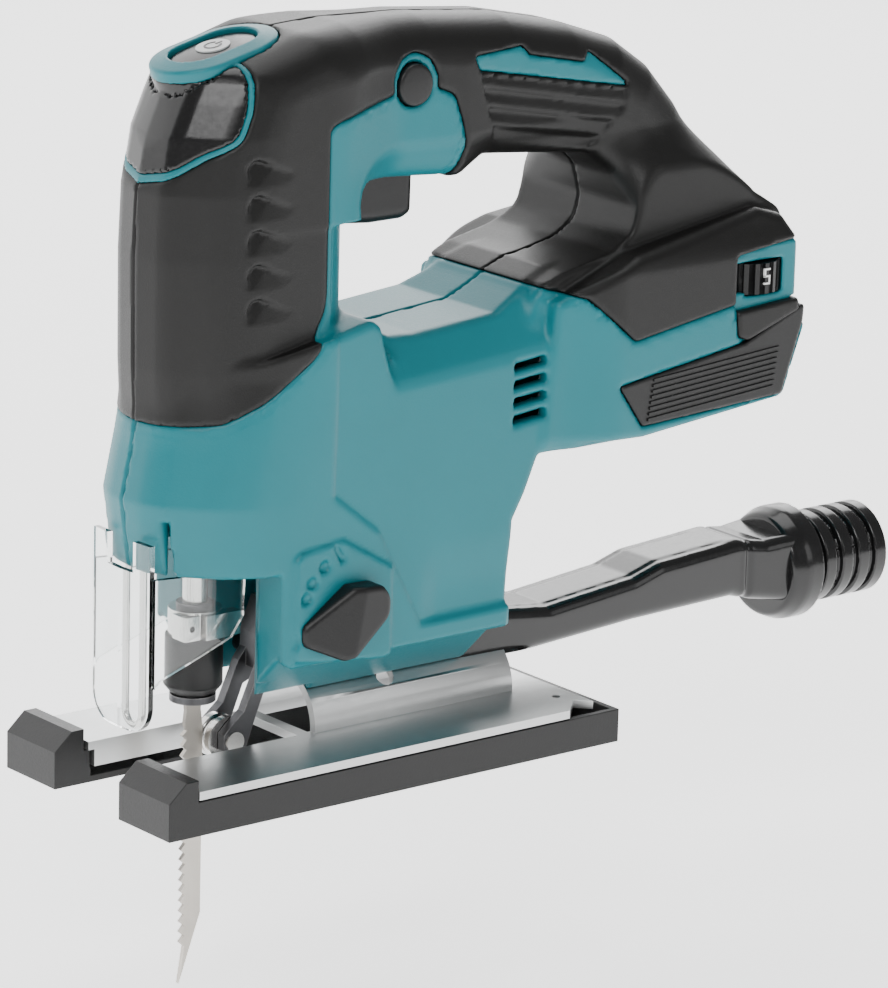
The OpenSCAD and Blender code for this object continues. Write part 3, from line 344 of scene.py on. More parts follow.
def openings(x, y, z):
    """Everything that goes through the shell: bay, trigger slot, dial window, vents, blade space."""
    side = np.abs(y)
    gone = battery_bay(x, y, z)
    gone = np.minimum(gone, np.maximum(np.abs(x - 53.7) - 15.4,
                                       np.maximum(side - 9.4, np.abs(z - 162) - 12)))
    dial = np.maximum(np.maximum(np.abs(x - 170) - 8.4, np.abs(z - 128.2) - 4.2), y + 15)
    gone = np.minimum(gone, dial)
    gone = np.minimum(gone, np.maximum(np.sqrt((x - 172.5) ** 2 + (y + 25.8) ** 2) - 10.9,
                                       np.abs(z - 127.5) - 5))
    for row in range(4):
        tall = 111.9 - 4.95 * row
        gone = np.minimum(gone, np.maximum(np.maximum(np.abs(x - 92) - 5.6,
                                                      np.abs(z - tall - 0.1 * (x - 92)) - 1.35), 22 - side))
    cavity = np.maximum(np.abs(x + 3) - 14.2,
                        np.maximum(side - 17.8 + np.maximum(-4 - x, 0) * 0.45, z - 84.3))
    slot = np.maximum(np.maximum(np.abs(side - 13.5) - 1.1, np.abs(z - 70) - 10), x)
    cavity = np.minimum(cavity, slot)
    cavity = np.minimum(cavity, np.maximum(np.maximum(-17.2 - x, x - 31), np.maximum(side - 12.6, z - 64)))
    gone = np.minimum(gone, cavity)
    lock = np.maximum(np.sqrt((x - 57.4) ** 2 + (z - 191.5) ** 2) - 6.1, y)
    return np.minimum(gone, lock)


def lever_face(x, z):
    """Ring, three dots and a stroke beside the lever, sunk into the flank."""
    ring = np.abs(np.hypot(x - 9.9, z - 46) - 1.9) - 0.5
    dots = np.minimum(np.hypot(x - 14.7, z - 57.4),
                      np.minimum(np.hypot(x - 16.5, z - 61.5), np.hypot(x - 20.5, z - 65.5))) - 1.6
    stroke = outline([(23.5, 70.5), (25, 70.8), (27.6, 66.4), (26.2, 66)])(x, z)
    return np.minimum(np.minimum(ring, dots), stroke)


LEVER_PLATE = outline([(11, 40), (11, 68.5), (13.5, 70.4), (27, 72), (44, 62), (44, 36)], 1.5)
SKIN = 2.0
KEYED = 1.6


def housing(x, y, z):
    whole = tool_body(x, y, z)
    soft = soft_zone(x, y, z)
    piping = np.abs(SOFT_EDGE(x, z) - 1.7) - 0.22
    shell = cut(whole, np.maximum(soft, -(whole + SKIN)), 0.4)
    shell = cut(shell, np.maximum(piping, -(whole + 0.45)), 0.25)
    shell = cut(shell, np.maximum(RIB_PANEL(x, z), 34.4 - np.abs(y)), 0.4)
    raised = np.maximum(LEVER_PLATE(x, z), np.abs(y) - 31.7)
    shell = np.where(y < 0, join(shell, np.maximum(raised, 27 - np.abs(y)), 0.5), shell)
    swept = np.maximum((z - TILT_CENTRE - np.abs(y)) * 0.7071,
                       np.sqrt(y * y + (z - TILT_CENTRE) ** 2) - 38.9)
    shell = cut(shell, swept, 0.3)
    sunk = np.where((y < 0) & (-y > 30.5), lever_face(x, z), 9)
    shell = cut(shell, sunk, 0.15)
    well = np.maximum(WINDOW(x, z), 34.6 + y)
    shell = cut(shell, np.where(y < 0, well, 9), 0.3)
    hollow = whole + np.where(SOFT_EDGE(x, z) < 4, 7.0, 4.5)
    plate_room = np.maximum(np.maximum(np.abs(x - 31.5) - 3.2, np.abs(y) - 18.6), np.abs(z - 105.7) - 21.7)
    hollow = np.minimum(hollow, plate_room)
    hollow = np.maximum(hollow, 2.5 - battery_bay(x, y, z))
    hollow = np.maximum(hollow, 2.5 - np.maximum(np.maximum(-30 - x, x - 31),
                                                 np.maximum(np.abs(y) - 17.8, z - 84.3)))
    _, up = bezel_frame(x, z)
    seat = np.maximum(oval(x, y, z, 18.6, 13.5), -3 - up)
    return cut(np.maximum(np.maximum(shell, -hollow), -seat), openings(x, y, z), 0.3)


def effect(name, inputs, outputs):
    """An empty shader node group with named sockets."""
    group = bpy.data.node_groups.new(name, "ShaderNodeTree")
    for label, kind, value in inputs:
        socket = group.interface.new_socket(label, in_out="INPUT", socket_type="NodeSocket" + kind)
        if value is not None:
            socket.default_value = value
    for label, kind in outputs:
        group.interface.new_socket(label, in_out="OUTPUT", socket_type="NodeSocket" + kind)
    return group, group.nodes.new("NodeGroupInput"), group.nodes.new("NodeGroupOutput")


def node(tree, kind, links=(), **settings):
    """A shader node with its inputs linked or set, and its own settings."""
    made = tree.nodes.new("ShaderNode" + kind)
    for key, value in settings.items():
        setattr(made, key, value)
    for socket, value in dict(links).items():
        if isinstance(value, bpy.types.NodeSocket):
            tree.links.new(value, made.inputs[socket])
        else:
            made.inputs[socket].default_value = value
    return made


# Grain: a fine, even texture over slow, broad cloudiness, as on any moulded or cast face.
grain, given, result = effect("surface_grain",
                              [("Vector", "Vector", None), ("Scale", "Float", 900.0),
                               ("Stretch", "Vector", (1, 1, 1))],
                              [("Height", "Float"), ("Cloud", "Float")])
mapped = node(grain, "Mapping", {"Vector": given.outputs["Vector"], "Scale": given.outputs["Stretch"]})
fine = node(grain, "TexNoise", {"Vector": mapped.outputs[0], "Scale": given.outputs["Scale"],
                                "Detail": 3.0, "Roughness": 0.6})
broad = node(grain, "TexNoise", {"Vector": given.outputs["Vector"], "Scale": 28.0, "Detail": 4.0,
                                 "Roughness": 0.65})
grain.links.new(fine.outputs[0], result.inputs["Height"])
grain.links.new(broad.outputs[0], result.inputs["Cloud"])

# Edge wear: found where a rounded copy of the surface turns away from the true one.
worn, given, result = effect("edge_wear", [("Vector", "Vector", None), ("Radius", "Float", 0.0006),
                                           ("Amount", "Float", 0.5)],
                             [("Mask", "Float")])
soft = node(worn, "Bevel", {"Radius": given.outputs["Radius"]}, samples=4)
true = node(worn, "NewGeometry")
facing = node(worn, "VectorMath", {0: soft.outputs[0], 1: true.outputs["Normal"]}, operation="DOT_PRODUCT")
edge = node(worn, "MapRange", {"Value": facing.outputs["Value"], "From Min": 0.985, "From Max": 0.86})
patchy = node(worn, "TexNoise", {"Vector": given.outputs["Vector"], "Scale": 160.0, "Detail": 5.0})
patch = node(worn, "MapRange", {"Value": patchy.outputs[0], "From Min": 0.35, "From Max": 0.65})
share = node(worn, "Math", {0: edge.outputs[0], 1: patch.outputs[0]}, operation="MULTIPLY")
mask = node(worn, "Math", {0: share.outputs[0], 1: given.outputs["Amount"]}, operation="MULTIPLY")
worn.links.new(mask.outputs[0], result.inputs["Mask"])


def surface(name, colour, rough, spread=0.06, size=900.0, depth=0.1, tint=0.12, wear=None, amount=0.5,
            stretch=(1, 1, 1), **plain):
    """A material: base colour with cloudiness, grained roughness and relief, and worn edges."""
    made = bpy.data.materials.new(name)
    made.use_nodes = True
    tree = made.node_tree
    skin = tree.nodes["Principled BSDF"]
    place = node(tree, "TexCoord").outputs["Object"]
    face = node(tree, "Group", node_tree=grain)
    tree.links.new(place, face.inputs["Vector"])
    face.inputs["Scale"].default_value = size
    face.inputs["Stretch"].default_value = stretch
    level = node(tree, "MapRange", {"Value": face.outputs["Height"], "From Min": 0.25, "From Max": 0.75,
                                    "To Min": rough - spread, "To Max": rough + spread})
    tree.links.new(level.outputs[0], skin.inputs["Roughness"])
    relief = node(tree, "Bump", {"Strength": depth, "Distance": 0.0003, "Height": face.outputs["Height"]})
    tree.links.new(relief.outputs[0], skin.inputs["Normal"])
    tone = node(tree, "Mix", data_type="RGBA")
    tone.inputs[6].default_value = (*(c * (1 - tint) for c in colour), 1)
    tone.inputs[7].default_value = (*(min(1, c * (1 + tint)) for c in colour), 1)
    tree.links.new(face.outputs["Cloud"], tone.inputs[0])
    last = tone.outputs[2]
    if wear:
        rub = node(tree, "Group", node_tree=worn)
        tree.links.new(place, rub.inputs["Vector"])
        rub.inputs["Amount"].default_value = amount
        mixed = node(tree, "Mix", data_type="RGBA")
        mixed.inputs[7].default_value = (*wear, 1)
        tree.links.new(rub.outputs["Mask"], mixed.inputs[0])
        tree.links.new(last, mixed.inputs[6])
        last = mixed.outputs[2]
    tree.links.new(last, skin.inputs["Base Color"])
    for socket, value in plain.items():
        skin.inputs[socket.replace("_", " ")].default_value = value
    return made


def paint(material, *things):
    """Gives pieces, or CAD nodes by name, one material."""
    for thing in things:
        mesh = (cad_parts[thing] if isinstance(thing, str) else thing).data
        if not len(mesh.materials):
            mesh.materials.append(material)
        for k in range(len(mesh.materials)):
            mesh.materials[k] = material


TEAL = surface("teal nylon", (0.0, 0.15, 0.18), 0.4, 0.05, 1500, 0.16, 0.1, (0.01, 0.3, 0.34), 0.4,
               Specular_IOR_Level=0.38)
STEP = 0.9
halves = []
for tag, sign in (("left", -1), ("right", 1)):
    def half(x, y, z, sign=sign):
        return meet(housing(x, y, z), 0.04 - sign * y, 0.35)
    reach = sorted((0, sign * 37.5))
    piece = moulding("shell_" + tag, (-26, reach[0], 22), (190, reach[1], 212), STEP * 1.2, half)
    halves.append(piece)
    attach(piece, "housing")
    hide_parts("housing_" + tag)
paint(TEAL, *halves)


# ---------------------------------------------------------------- rubber grips
# A soft black skin moulded over each half and keyed into it: pillar, handle, rear leg and dock shoulders.
# It stands a little proud, with hooked steps for the fingertips and a fluted palm panel.
HOOK = outline([(-2.2, -6), (-1.9, -2), (-0.4, 0.4, 1.5), (1.6, 1.0), (13, -3.4), (9, -7)], 0.4,
               pitch=0.15, rim=3)
PALM = outline([(79.7, 192.6), (133.3, 183.2), (131.3, 177.4), (122.8, 166.6), (86.9, 172.0)], 1.2)


def finger_steps(x, y, z):
    """Depth of the five hooked steps and of the palm panel's flutes."""
    deep = 0
    for row in range(5):
        drop = z - 177.2 + 9.3 * row
        inside = ramp(0.0, 0.9, -HOOK(x, drop))
        deep = deep + 2.1 * inside * np.clip(1 + drop / 6.5, 0, 1) * np.clip((14 - x) / 9, 0, 1)
    down = (192.6 - 0.183 * (x - 79.7) - z) / 5.05
    share = down - np.floor(down)
    flute = 0.9 * np.where(share < 0.68, 1 - share / 0.68, (share - 0.68) / 0.32) + 0.1
    return np.where(np.abs(y) > 9, deep + flute * ramp(0, 0.7, -PALM(x, z)), 0)


def grip(x, y, z):
    whole = tool_body(x, y, z)
    skin = meet(whole - 0.4, soft_zone(x, y, z) + 0.12, 0.9)
    skin = np.maximum(skin + finger_steps(x, y, z), -(whole + SKIN + KEYED))
    skin = cut(skin, np.where(z > 160, CAP_EDGE(x, z) - 0.15, 9), 0.5)
    skin = cut(skin, np.where(z > 190, oval(x, y, z, 18.8, 13.7), 9), 0.4)
    return np.maximum(skin, -openings(x, y, z))


def ride_as(piece, body, slot, *nodes):
    """Fixes a finished piece to its body, in place of the plain parts it stands for."""
    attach(piece, body)
    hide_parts(*nodes)
    return piece


grips = []
for tag, sign in (("left", -1), ("right", 1)):
    def half(x, y, z, sign=sign):
        return meet(grip(x, y, z), 0.03 - sign * y, 0.3)
    reach = sorted((0, sign * 37.5))
    piece = moulding("rubber_" + tag, (-24, reach[0], 100), (190, reach[1], 212), STEP, half)
    grips.append(ride_as(piece, "housing", "soft_rubber", "grip_" + tag))
RUBBER = surface("satin rubber", (0.005, 0.0049, 0.0047), 0.42, 0.06, 2200, 0.2, 0.2, (0.03, 0.03, 0.028),
                 0.5, Specular_IOR_Level=0.32)
paint(RUBBER, *grips)


# ---------------------------------------------------------------- head cap, bezel and button
# A glossy black cap with pressed facets closes the pillar's head. A teal ring frames the
# oval button, and a thin teal bead runs on from it round the cap.
def head_cap(x, y, z):
    whole = tool_body(x, y, z)
    cap = meet(whole - 0.15, CAP_EDGE(x, z) + 1.25, 0.5)
    cap = np.maximum(cap, -(whole + SKIN + KEYED))
    _, up = bezel_frame(x, z)
    seat = np.maximum(oval(x, y, z, 18.3, 13.2), np.maximum(up + 2.9, -10 - up))
    return np.minimum(cut(cap, oval(x, y, z, 18.7, 13.6), 0.3), np.maximum(seat, x - 5.5))


def bezel(x, y, z):
    whole = tool_body(x, y, z)
    _, up = bezel_frame(x, z)
    ring = meet(oval(x, y, z, 18.5, 13.4), up - 1.3 + 0.22 * oval(x, y, z, 13.5, 8.5), 0.8)
    ring = np.maximum(ring, -3 - up)
    ring = cut(ring, oval(x, y, z, 13.1, 8.1), 0.5)
    bead = meet(whole - 0.3, np.abs(CAP_EDGE(x, z) + 0.6) - 0.62, 0.4)
    bead = np.maximum(np.maximum(bead, -(whole + SKIN + KEYED)), -oval(x, y, z, 18.3, 13.2))
    return np.minimum(ring, np.maximum(bead, 160 - z))


def button(x, y, z):
    along, up = bezel_frame(x, z)
    crown = up - 0.7 + (along * along + 2 * y * y) * 0.004
    return np.maximum(meet(oval(x, y, z, 12.9, 7.9), crown, 0.7), -3.5 - up)


cap = ride_as(moulding("head_cap", (-24, -27, 166), (6, 27, 210), STEP * 0.7, head_cap), "housing",
              "gloss_black", "front_cap")
ring = ride_as(moulding("button_ring", (-24, -27, 166), (24, 27, 212), STEP * 0.55, bezel), "housing",
               "teal_shell", "button_bezel")
knob = ride_as(moulding("mode_oval", (-10, -9, 196), (18, 9, 210), STEP * 0.5, button), "mode",
               "gloss_black", "mode_button")
GLOSS = surface("gloss black", (0.005, 0.005, 0.0052), 0.2, 0.05, 700, 0.03, 0.15, (0.04, 0.04, 0.04), 0.4)
paint(TEAL, ring)
paint(GLOSS, cap, knob)


# ---------------------------------------------------------------- trigger and lock button
# Both are moulded in matt black. The trigger hangs from a pin at its front end; the round
# button is pressed in from the left side of the handle.
TRIGGER_EDGE = outline([(39, 173), (39, 155.2), (43, 152.6, 10), (52, 151.8), (63, 151.9, 4),
                        (66.2, 153.4, 3), (66.4, 168), (60, 170),
                        (48, 173.5)], 1.5)


def trigger(x, y, z):
    bar = meet(TRIGGER_EDGE(x, z), np.abs(y) - 9, 3.4)
    return np.maximum(bar, -np.maximum(np.abs(x - 58) - 4, np.maximum(np.abs(y) - 4, 164 - z)))


LOCK_X, LOCK_Z, LOCK_R = 57.4, 191.5, 5.75


def lock_button(x, y, z):
    across = np.hypot(x - LOCK_X, z - LOCK_Z)
    disc = meet(across - LOCK_R, -y - 19.9 - 0.35 * (1 - (across / LOCK_R) ** 2), 0.8)
    stem = np.maximum(across - 2.6, y + 2)
    return np.minimum(np.maximum(disc, y + 13), np.maximum(stem, -15 - y))


pull = ride_as(moulding("trigger_bar", (38, -10, 151), (68, 10, 175), STEP * 0.7, trigger), "trigger",
               "black_nylon", "trigger")
lock = ride_as(moulding("lock_disc", (50, -21, 184), (65, -1, 199), STEP * 0.5, lock_button), "lock",
               "black_nylon", "lock_button")
NYLON = surface("black nylon", (0.006, 0.006, 0.0062), 0.38, 0.06, 1500, 0.14, 0.2, (0.03, 0.03, 0.03), 0.5,
                Specular_IOR_Level=0.36)
paint(NYLON, pull, lock)


# ---------------------------------------------------------------- dust duct and hose cuff
# One blow-moulded black pipe runs back from the cradle and rises a little; a ringed cuff for
# a vacuum hose is pushed on its end.
def duct(x, y, z):
    floor_z = np.interp(x, [80, 110, 150, 188, 196, 215], [21, 21, 23.5, 24.5, 22.5, 19])
    roof_z = np.interp(x, [80, 100, 118, 150, 160, 190, 200, 215],
                       [34, 35.5, 33.4, 36.6, 39.6, 41.6, 40, 41])
    centre, half = (floor_z + roof_z) / 2, (roof_z - floor_z) / 2
    wide = np.interp(x, [80, 112, 190, 210], [10.6, 11.1, 11.1, 13.2])
    section = meet(np.abs(z - centre) - half, np.abs(y) - wide, 3.6)
    creases = 0.4 * ramp(1.5, 0.2, np.abs(np.abs(y) - 7.5)) * ramp(188, 182, x)
    seam = 0.6 * ramp(1.5, 0.2, np.abs(x - 193))
    pipe = meet(section + seam + creases, np.abs(x - 150) - 65.5, 0.6)
    bore = meet(section + 1.8, np.abs(x - 155) - 80, 1)
    return cut(pipe, bore, 0.2)


CUFF_Z, CUFF_BORE = 29, 11.6


def cuff(x, y, z):
    r = np.sqrt(y * y + (z - CUFF_Z) ** 2)
    ridge = np.abs(((x - 221) / 6.6) % 1 - 0.5)
    rings = 13.9 - 1.7 * ramp(0.3, 0.38, ridge) * ramp(220, 221, x)
    neck = np.interp(x, [204, 209, 212, 213.5, 218, 219.5, 260], [13.2, 15.8, 17, 17.2, 17.2, 14.2, 13.9])
    solid = meet(r - np.minimum(neck, np.where(x > 220, rings, 99)), np.abs(x - 227.5) - 20, 0.9)
    return cut(solid, np.maximum(r - CUFF_BORE, 212 - x), 0.4)


tube = ride_as(moulding("dust_pipe", (83, -14, 17), (217, 14, 43), STEP * 0.8, duct), "housing",
               "gloss_black", "dust_duct")
collar = ride_as(moulding("hose_collar", (206, -18.5, 10.5), (250, 18.5, 47.5), STEP * 0.6, cuff),
                 "housing", "gloss_black", "hose_cuff")
paint(GLOSS, tube, collar)


# ---------------------------------------------------------------- orbital lever
# A matt black nylon lever on the left flank. It turns a cam that swings the roller arm. Its
# front face is broken by one crease from the round end to the toe.
LEVER_EDGE = outline([(36, 59.6), (27, 60), (12.4, 49.6, 3), (13.2, 44.4, 2.5), (24, 39.6, 3),
                      (27.4, 40.4, 2.5), (38.6, 50.6, 5),
                      (38.8, 56, 5)], 3, pitch=0.2)


PIVOT_X, PIVOT_Z = 31.5, 53


def lever(x, y, z):
    crease = 26.5 + (z - 41) * 0.2
    face = -y - 38.3 + 0.35 * np.maximum(crease - x, 0)
    body = meet(meet(LEVER_EDGE(x, z), face, 1.5), y + 31.7, 0.2)
    return np.minimum(body, np.maximum(np.hypot(x - PIVOT_X, z - PIVOT_Z) - 4, np.abs(y + 20) - 12))


arm = ride_as(moulding("orbit_lever", (11, -39.5, 38), (40, -7, 61), STEP * 0.6, lever), "lever",
              "black_nylon", "orbital_lever")
paint(NYLON, arm)


# ---------------------------------------------------------------- dock rib panels
# A dark panel let into each side of the battery dock, crossed by fine parallel ribs.
def ribs_tree():
    """A row of equal bars: one bar, repeated by a step, then tilted."""
    tree = bpy.data.node_groups.new("rib_row", "GeometryNodeTree")
    for label, kind in (("Count", "Int"), ("Start", "Vector"), ("Step", "Vector"), ("Bar", "Vector"),
                        ("Tilt", "Vector")):
        tree.interface.new_socket(label, in_out="INPUT", socket_type="NodeSocket" + kind)
    tree.interface.new_socket("Finish", in_out="INPUT", socket_type="NodeSocketMaterial")
    tree.interface.new_socket("Geometry", in_out="OUTPUT", socket_type="NodeSocketGeometry")
    given, result = tree.nodes.new("NodeGroupInput"), tree.nodes.new("NodeGroupOutput")
    row, bar, spread, solid, finish = (tree.nodes.new("GeometryNode" + kind) for kind in (
        "MeshLine", "MeshCube", "InstanceOnPoints", "RealizeInstances", "SetMaterial"))
    for source, target in ((given.outputs["Count"], row.inputs["Count"]),
                           (given.outputs["Start"], row.inputs["Start Location"]),
                           (given.outputs["Step"], row.inputs["Offset"]),
                           (given.outputs["Bar"], bar.inputs["Size"]),
                           (row.outputs[0], spread.inputs["Points"]),
                           (bar.outputs[0], spread.inputs["Instance"]),
                           (given.outputs["Tilt"], spread.inputs["Rotation"]),
                           (spread.outputs[0], solid.inputs[0]),
                           (solid.outputs[0], finish.inputs[0]),
                           (given.outputs["Finish"], finish.inputs["Material"]),
                           (finish.outputs[0], result.inputs[0])):
        tree.links.new(source, target)
    return tree


RIBS = ribs_tree()


def row_of(name, count, start, step, bar, tilt, material):
    """Runs the rib tree with these sizes in mm and keeps the plain mesh it makes."""
    host = bpy.data.objects.new(name + "_host", bpy.data.meshes.new(name))
    bpy.context.scene.collection.objects.link(host)
    grow = host.modifiers.new("ribs", "NODES")
    grow.node_group = RIBS
    keys = {item.name: item.identifier for item in RIBS.interface.items_tree if item.in_out == "INPUT"}
    grow[keys["Count"]] = count
    for key, value in (("Start", start), ("Step", step), ("Bar", bar)):
        grow[keys[key]] = [v * MM for v in value]
    grow[keys["Tilt"]] = tilt
    grow[keys["Finish"]] = material
    host.data.update()
    bpy.context.view_layer.update()
    made = bpy.data.meshes.new_from_object(host.evaluated_get(bpy.context.evaluated_depsgraph_get()))
    bpy.data.objects.remove(host)
    piece = bpy.data.objects.new(name, made)
    bpy.context.scene.collection.objects.link(piece)
    return piece


for tag, sign in (("left", -1), ("right", 1)):
    def panel(x, y, z, sign=sign):
        face = sign * y - 36.35
        return np.maximum(meet(RIB_PANEL(x, z) + 0.25, face, 0.3), 34.2 - sign * y)
    reach = sorted((sign * 33.5, sign * 37.5))
    plate = ride_as(moulding("dock_side_" + tag, (117, reach[0], 88), (190, reach[1], 122), STEP * 0.6,
                             panel),
                    "housing", "black_nylon", "dock_panel_" + tag)
    paint(NYLON, plate)
    ribs = row_of("dock_ribs_" + tag, 8, (154.5, sign * 36.4, 105.2), (-0.25, 0, -1.6), (47, 0.9, 0.75),
                  (0, -math.radians(4.2), 0), NYLON)
    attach(ribs, "housing")


# ---------------------------------------------------------------- button disc and dial number
# A pale printed disc with a generic power sign fills the front button, and the speed dial
# carries a moulded number.
def plain_piece(name, verts, faces, body, slot, material):
    mesh = bpy.data.meshes.new(name)
    mesh.from_pydata([[v * MM for v in p] for p in verts], [], faces)
    mesh.update()
    piece = bpy.data.objects.new(name, mesh)
    bpy.context.scene.collection.objects.link(piece)
    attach(piece, body)
    paint(material, piece)
    return piece


def on_head(along, across, up):
    """A point given along, across and above the head's sloping top."""
    c, s = math.cos(BEZEL_TILT), math.sin(BEZEL_TILT)
    return (4 + along * c - up * s, across, 203.4 + along * s + up * c)


def ring_strip(inner, outer, up, start=0.0, stop=2 * math.pi, sides=48):
    """A flat ring or arc with thickness on the head's top."""
    verts, faces = [], []
    full = stop - start > 6.28
    turns = np.linspace(start, stop, sides + 1)[: sides if full else None]
    for a in turns:
        for r, h in ((inner, up), (outer, up), (outer, up - 0.5), (inner, up - 0.5)):
            verts.append(on_head(r * math.cos(a), r * math.sin(a), h))
    count = len(turns)
    for k in range(count if full else count - 1):
        i, j = 4 * k, 4 * ((k + 1) % count)
        faces += [(i + e, j + e, j + (e + 1) % 4, i + (e + 1) % 4)[::-1] for e in range(4)]
    if not full:
        faces += [(0, 1, 2, 3), tuple(4 * (count - 1) + e for e in (3, 2, 1, 0))]
    return verts, faces


PALE = surface("pale print", (0.62, 0.63, 0.62), 0.45, 0.05, 900, 0.05, 0.05)
WHITE = surface("white number", (0.8, 0.8, 0.78), 0.5, 0.05, 900, 0.05, 0.05)
plain_piece("button_disc", *ring_strip(0.01, 4.7, 0.95), "mode", "gloss_black", PALE)
plain_piece("power_ring", *ring_strip(1.9, 2.5, 1.1, 0.6, 2 * math.pi - 0.6), "mode", "gloss_black", GLOSS)
bar = [on_head(a, c, u) for u in (1.1, 0.6) for a, c in ((1.0, -0.3), (3.1, -0.3), (3.1, 0.3), (1.0, 0.3))]
BOX_FACES = [(0, 1, 2, 3), (7, 6, 5, 4), (0, 4, 5, 1), (1, 5, 6, 2), (2, 6, 7, 3), (3, 7, 4, 0)]
plain_piece("power_bar", bar, BOX_FACES, "mode", "gloss_black", GLOSS)
DIAL_FACE = float(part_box("speed_dial")[0][1]) / MM
DIAL_MID = float(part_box("speed_dial")[0][0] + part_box("speed_dial")[1][0]) / 2 / MM
verts, faces = [], []
for x0, x1, z0, z1 in ((-1.1, 1.1, 1.7, 2.2), (-1.1, -0.55, -0.1, 1.7), (-1.1, 1.1, -0.3, 0.2),
                       (0.55, 1.1, -2.0, -0.3), (-1.1, 1.1, -2.4, -1.9)):
    base = len(verts)
    for y in (DIAL_FACE - 0.12, DIAL_FACE + 0.5):
        verts += [(DIAL_MID + x, y, 128.2 + z) for x, z in ((x0, z0), (x1, z0), (x1, z1), (x0, z1))]
    faces += [tuple(base + k for k in face) for face in BOX_FACES]
plain_piece("dial_number", verts, faces, "dial", "black_nylon", WHITE)


# ---------------------------------------------------------------- metal and inner parts
# What the machine shop makes: pressed zinc-plated plate, cast gear housing, ground steel,
# and the plain nylon parts around them. Each keeps its exact shape and gets its finish here.
ZINC = surface("zinc plate", (0.55, 0.56, 0.56), 0.34, 0.05, 900, 0.05, 0.16, (0.75, 0.75, 0.74), 0.5,
               (0.3, 1, 1), Metallic=1.0)
STEEL = surface("bright steel", (0.66, 0.65, 0.63), 0.22, 0.06, 700, 0.08, 0.1, (0.8, 0.79, 0.77), 0.4,
                (1, 1, 0.15), Metallic=1.0)
DARK = surface("dark steel", (0.1, 0.1, 0.105), 0.4, 0.1, 600, 0.15, 0.25, (0.45, 0.44, 0.43), 0.7,
               Metallic=1.0)
SAW = surface("saw steel", (0.47, 0.44, 0.4), 0.36, 0.08, 800, 0.15, 0.22, (0.7, 0.67, 0.62), 0.6,
              (1, 1, 0.1), Metallic=1.0)
CAST = surface("cast alloy", (0.5, 0.5, 0.51), 0.5, 0.1, 500, 0.35, 0.14, (0.68, 0.68, 0.69), 0.6,
               Metallic=1.0)
BRONZE = surface("bronze", (0.52, 0.33, 0.14), 0.36, 0.08, 600, 0.12, 0.2, (0.7, 0.5, 0.26), 0.5,
                 Metallic=1.0)
CLEAR = surface("clear plastic", (0.95, 0.97, 0.97), 0.04, 0.02, 300, 0.01, 0.02, Transmission_Weight=1.0,
                IOR=1.46)
BOARD = surface("circuit board", (0.02, 0.11, 0.05), 0.45, 0.1, 500, 0.1, 0.3, (0.1, 0.2, 0.1), 0.5)
COPPER = surface("wound copper", (0.42, 0.17, 0.08), 0.34, 0.1, 900, 0.3, 0.3, (0.6, 0.3, 0.18), 0.5,
                 Metallic=1.0)

FINISHES = [
    (NYLON, "dock_rails speed_dial sole_cover switch_box terminal_block cooling_fan arm_pin dial_pin"
            " clamp_sleeve"),
    (RUBBER, "plunger_seal"),
    (ZINC, "base_plate clamp_plate terminal_blades"),
    (STEEL, "plunger guard_wire gear_shaft crank_pin guide_roller roller_pin guide_pivot_pin housing_screws"
            " base_bolt front_bearing rear_bearing release_lever trigger_spring"),
    (DARK, "roller_arm motor_pinion crank_gear orbital_cam motor_rotor clamp_body"),
    (SAW, "blade"),
    (CAST, "gear_housing plunger_guide balance_plate"),
    (BRONZE, "upper_bush lower_bush"),
    (CLEAR, "chip_shroud lamp_lens"),
    (BOARD, "controller_box"),
    (COPPER, "motor_stator"),
]
for material, names in FINISHES:
    for name in names.split():
        paint(material, name)

# Pressed and moulded edges are never sharp: a small radius on the ones in view.
for name, radius in (("sole_cover", 0.9), ("roller_arm", 0.4), ("release_lever", 0.25),
                     ("base_plate", 0.25), ("speed_dial", 0.2),
                     ("chip_shroud", 0.3), ("clamp_sleeve", 0.4), ("clamp_plate", 0.3)):
    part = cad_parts[name]
    weld = part.modifiers.new("weld", "WELD")
    weld.merge_threshold = 0.00001
    rounding = part.modifiers.new("round", "BEVEL")
    rounding.width = radius * MM
    rounding.segments = 3
    rounding.limit_method = "ANGLE"
    rounding.angle_limit = math.radians(35)


# ---------------------------------------------------------------- stage
# A pale floor that curves up into the backdrop, two large soft lamps and a small one.
def aim(thing, place, target):
    thing.location = place
    thing.rotation_euler = (Vector(target) - Vector(place)).to_track_quat("-Z", "Y").to_euler()
    bpy.context.scene.collection.objects.link(thing)


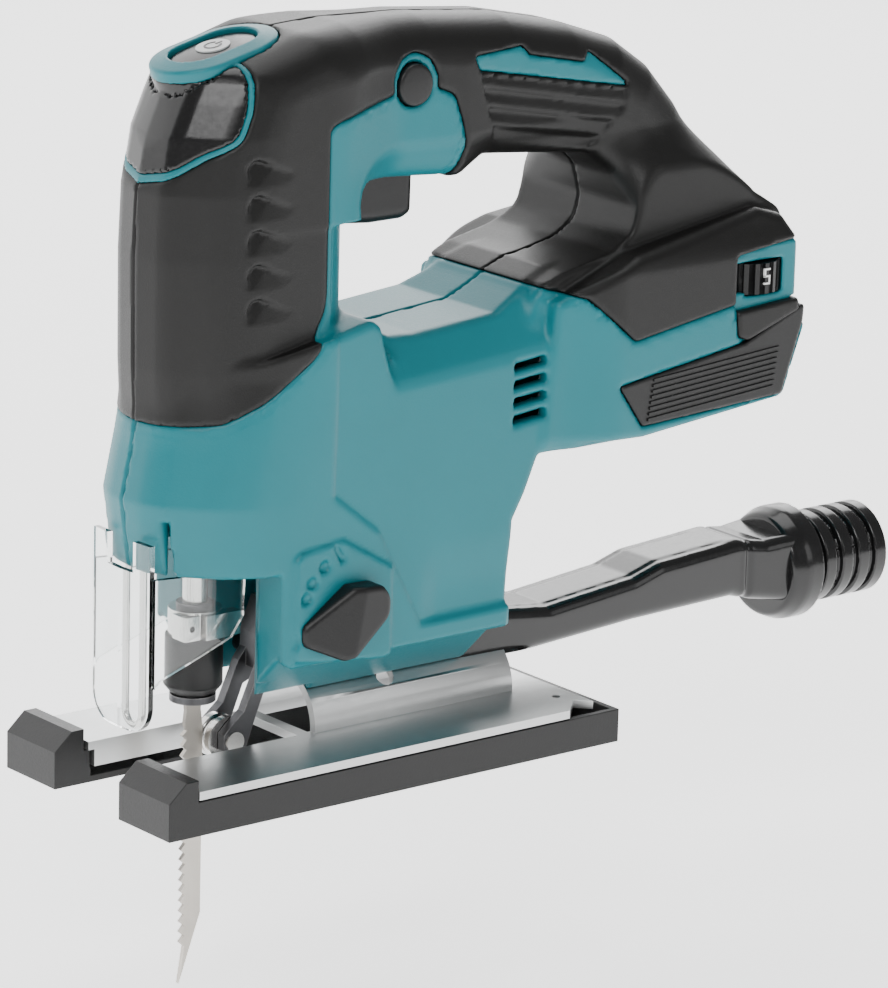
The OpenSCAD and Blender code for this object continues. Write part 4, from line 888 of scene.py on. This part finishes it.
sight = bpy.data.cameras.new("sight")
sight.lens = 188.3
sight.sensor_width = 36
sight.clip_end = 20
camera = bpy.data.objects.new("sight", sight)
AZIMUTH, ELEVATION, ROLL = (math.radians(a) for a in (-38.90, 15.25, 1.52))
right = Vector((math.cos(AZIMUTH), math.sin(AZIMUTH), 0))
back = Vector((math.sin(AZIMUTH) * math.cos(ELEVATION), -math.cos(AZIMUTH) * math.cos(ELEVATION),
               math.sin(ELEVATION)))
up = back.cross(right)
camera.matrix_world = (Matrix.Translation((-0.79344, -1.09037, 0.45085))
                       @ Matrix((right, up, back)).transposed().to_4x4() @ Matrix.Rotation(ROLL, 4, "Z"))
bpy.context.scene.collection.objects.link(camera)
bpy.context.scene.camera = camera

floor_mesh = bpy.data.meshes.new("floor")
FLOOR = float(cad_box[0][2]) - 0.004
sweep = [(-4.0, FLOOR), (1.6, FLOOR)] + [(1.6 + 0.8 * math.sin(a), FLOOR + 0.8 * (1 - math.cos(a)))
                                         for a in np.linspace(0.1, math.pi / 2, 14)] + [(2.4, 4.0)]
points = [(side, run, rise) for run, rise in sweep for side in (-5.0, 5.0)]
floor_mesh.from_pydata(points, [], [(2 * k, 2 * k + 1, 2 * k + 3,
                                     2 * k + 2) for k in range(len(sweep) - 1)])
floor_mesh.shade_smooth()
floor = bpy.data.objects.new("floor", floor_mesh)
bpy.context.scene.collection.objects.link(floor)
PAPER = surface("paper", (0.9, 0.9, 0.9), 0.75, 0.05, 60, 0.02, 0.01, Emission_Color=(1, 1, 1, 1),
                Emission_Strength=1.5)
paint(PAPER, floor)
for name, place, size, power in (("key", (-1.3, -1.1, 1.5), 1.1, 24), ("side", (0.9, -1.9, 0.9), 1.1, 6),
                                 ("top", (0.2, 0.3, 1.8), 1.2, 14), ("rim", (1.2, 1.1, 0.9), 0.9, 8)):
    lamp = bpy.data.lights.new(name, "AREA")
    lamp.size, lamp.energy = size, power
    aim(bpy.data.objects.new(name, lamp), place, (0.08, 0, 0.1))
sky = bpy.data.worlds.new("studio")
sky.use_nodes = True
sky.node_tree.nodes["Background"].inputs["Color"].default_value = (1, 1, 1, 1)
sky.node_tree.nodes["Background"].inputs["Strength"].default_value = 0.32
bpy.context.scene.world = sky
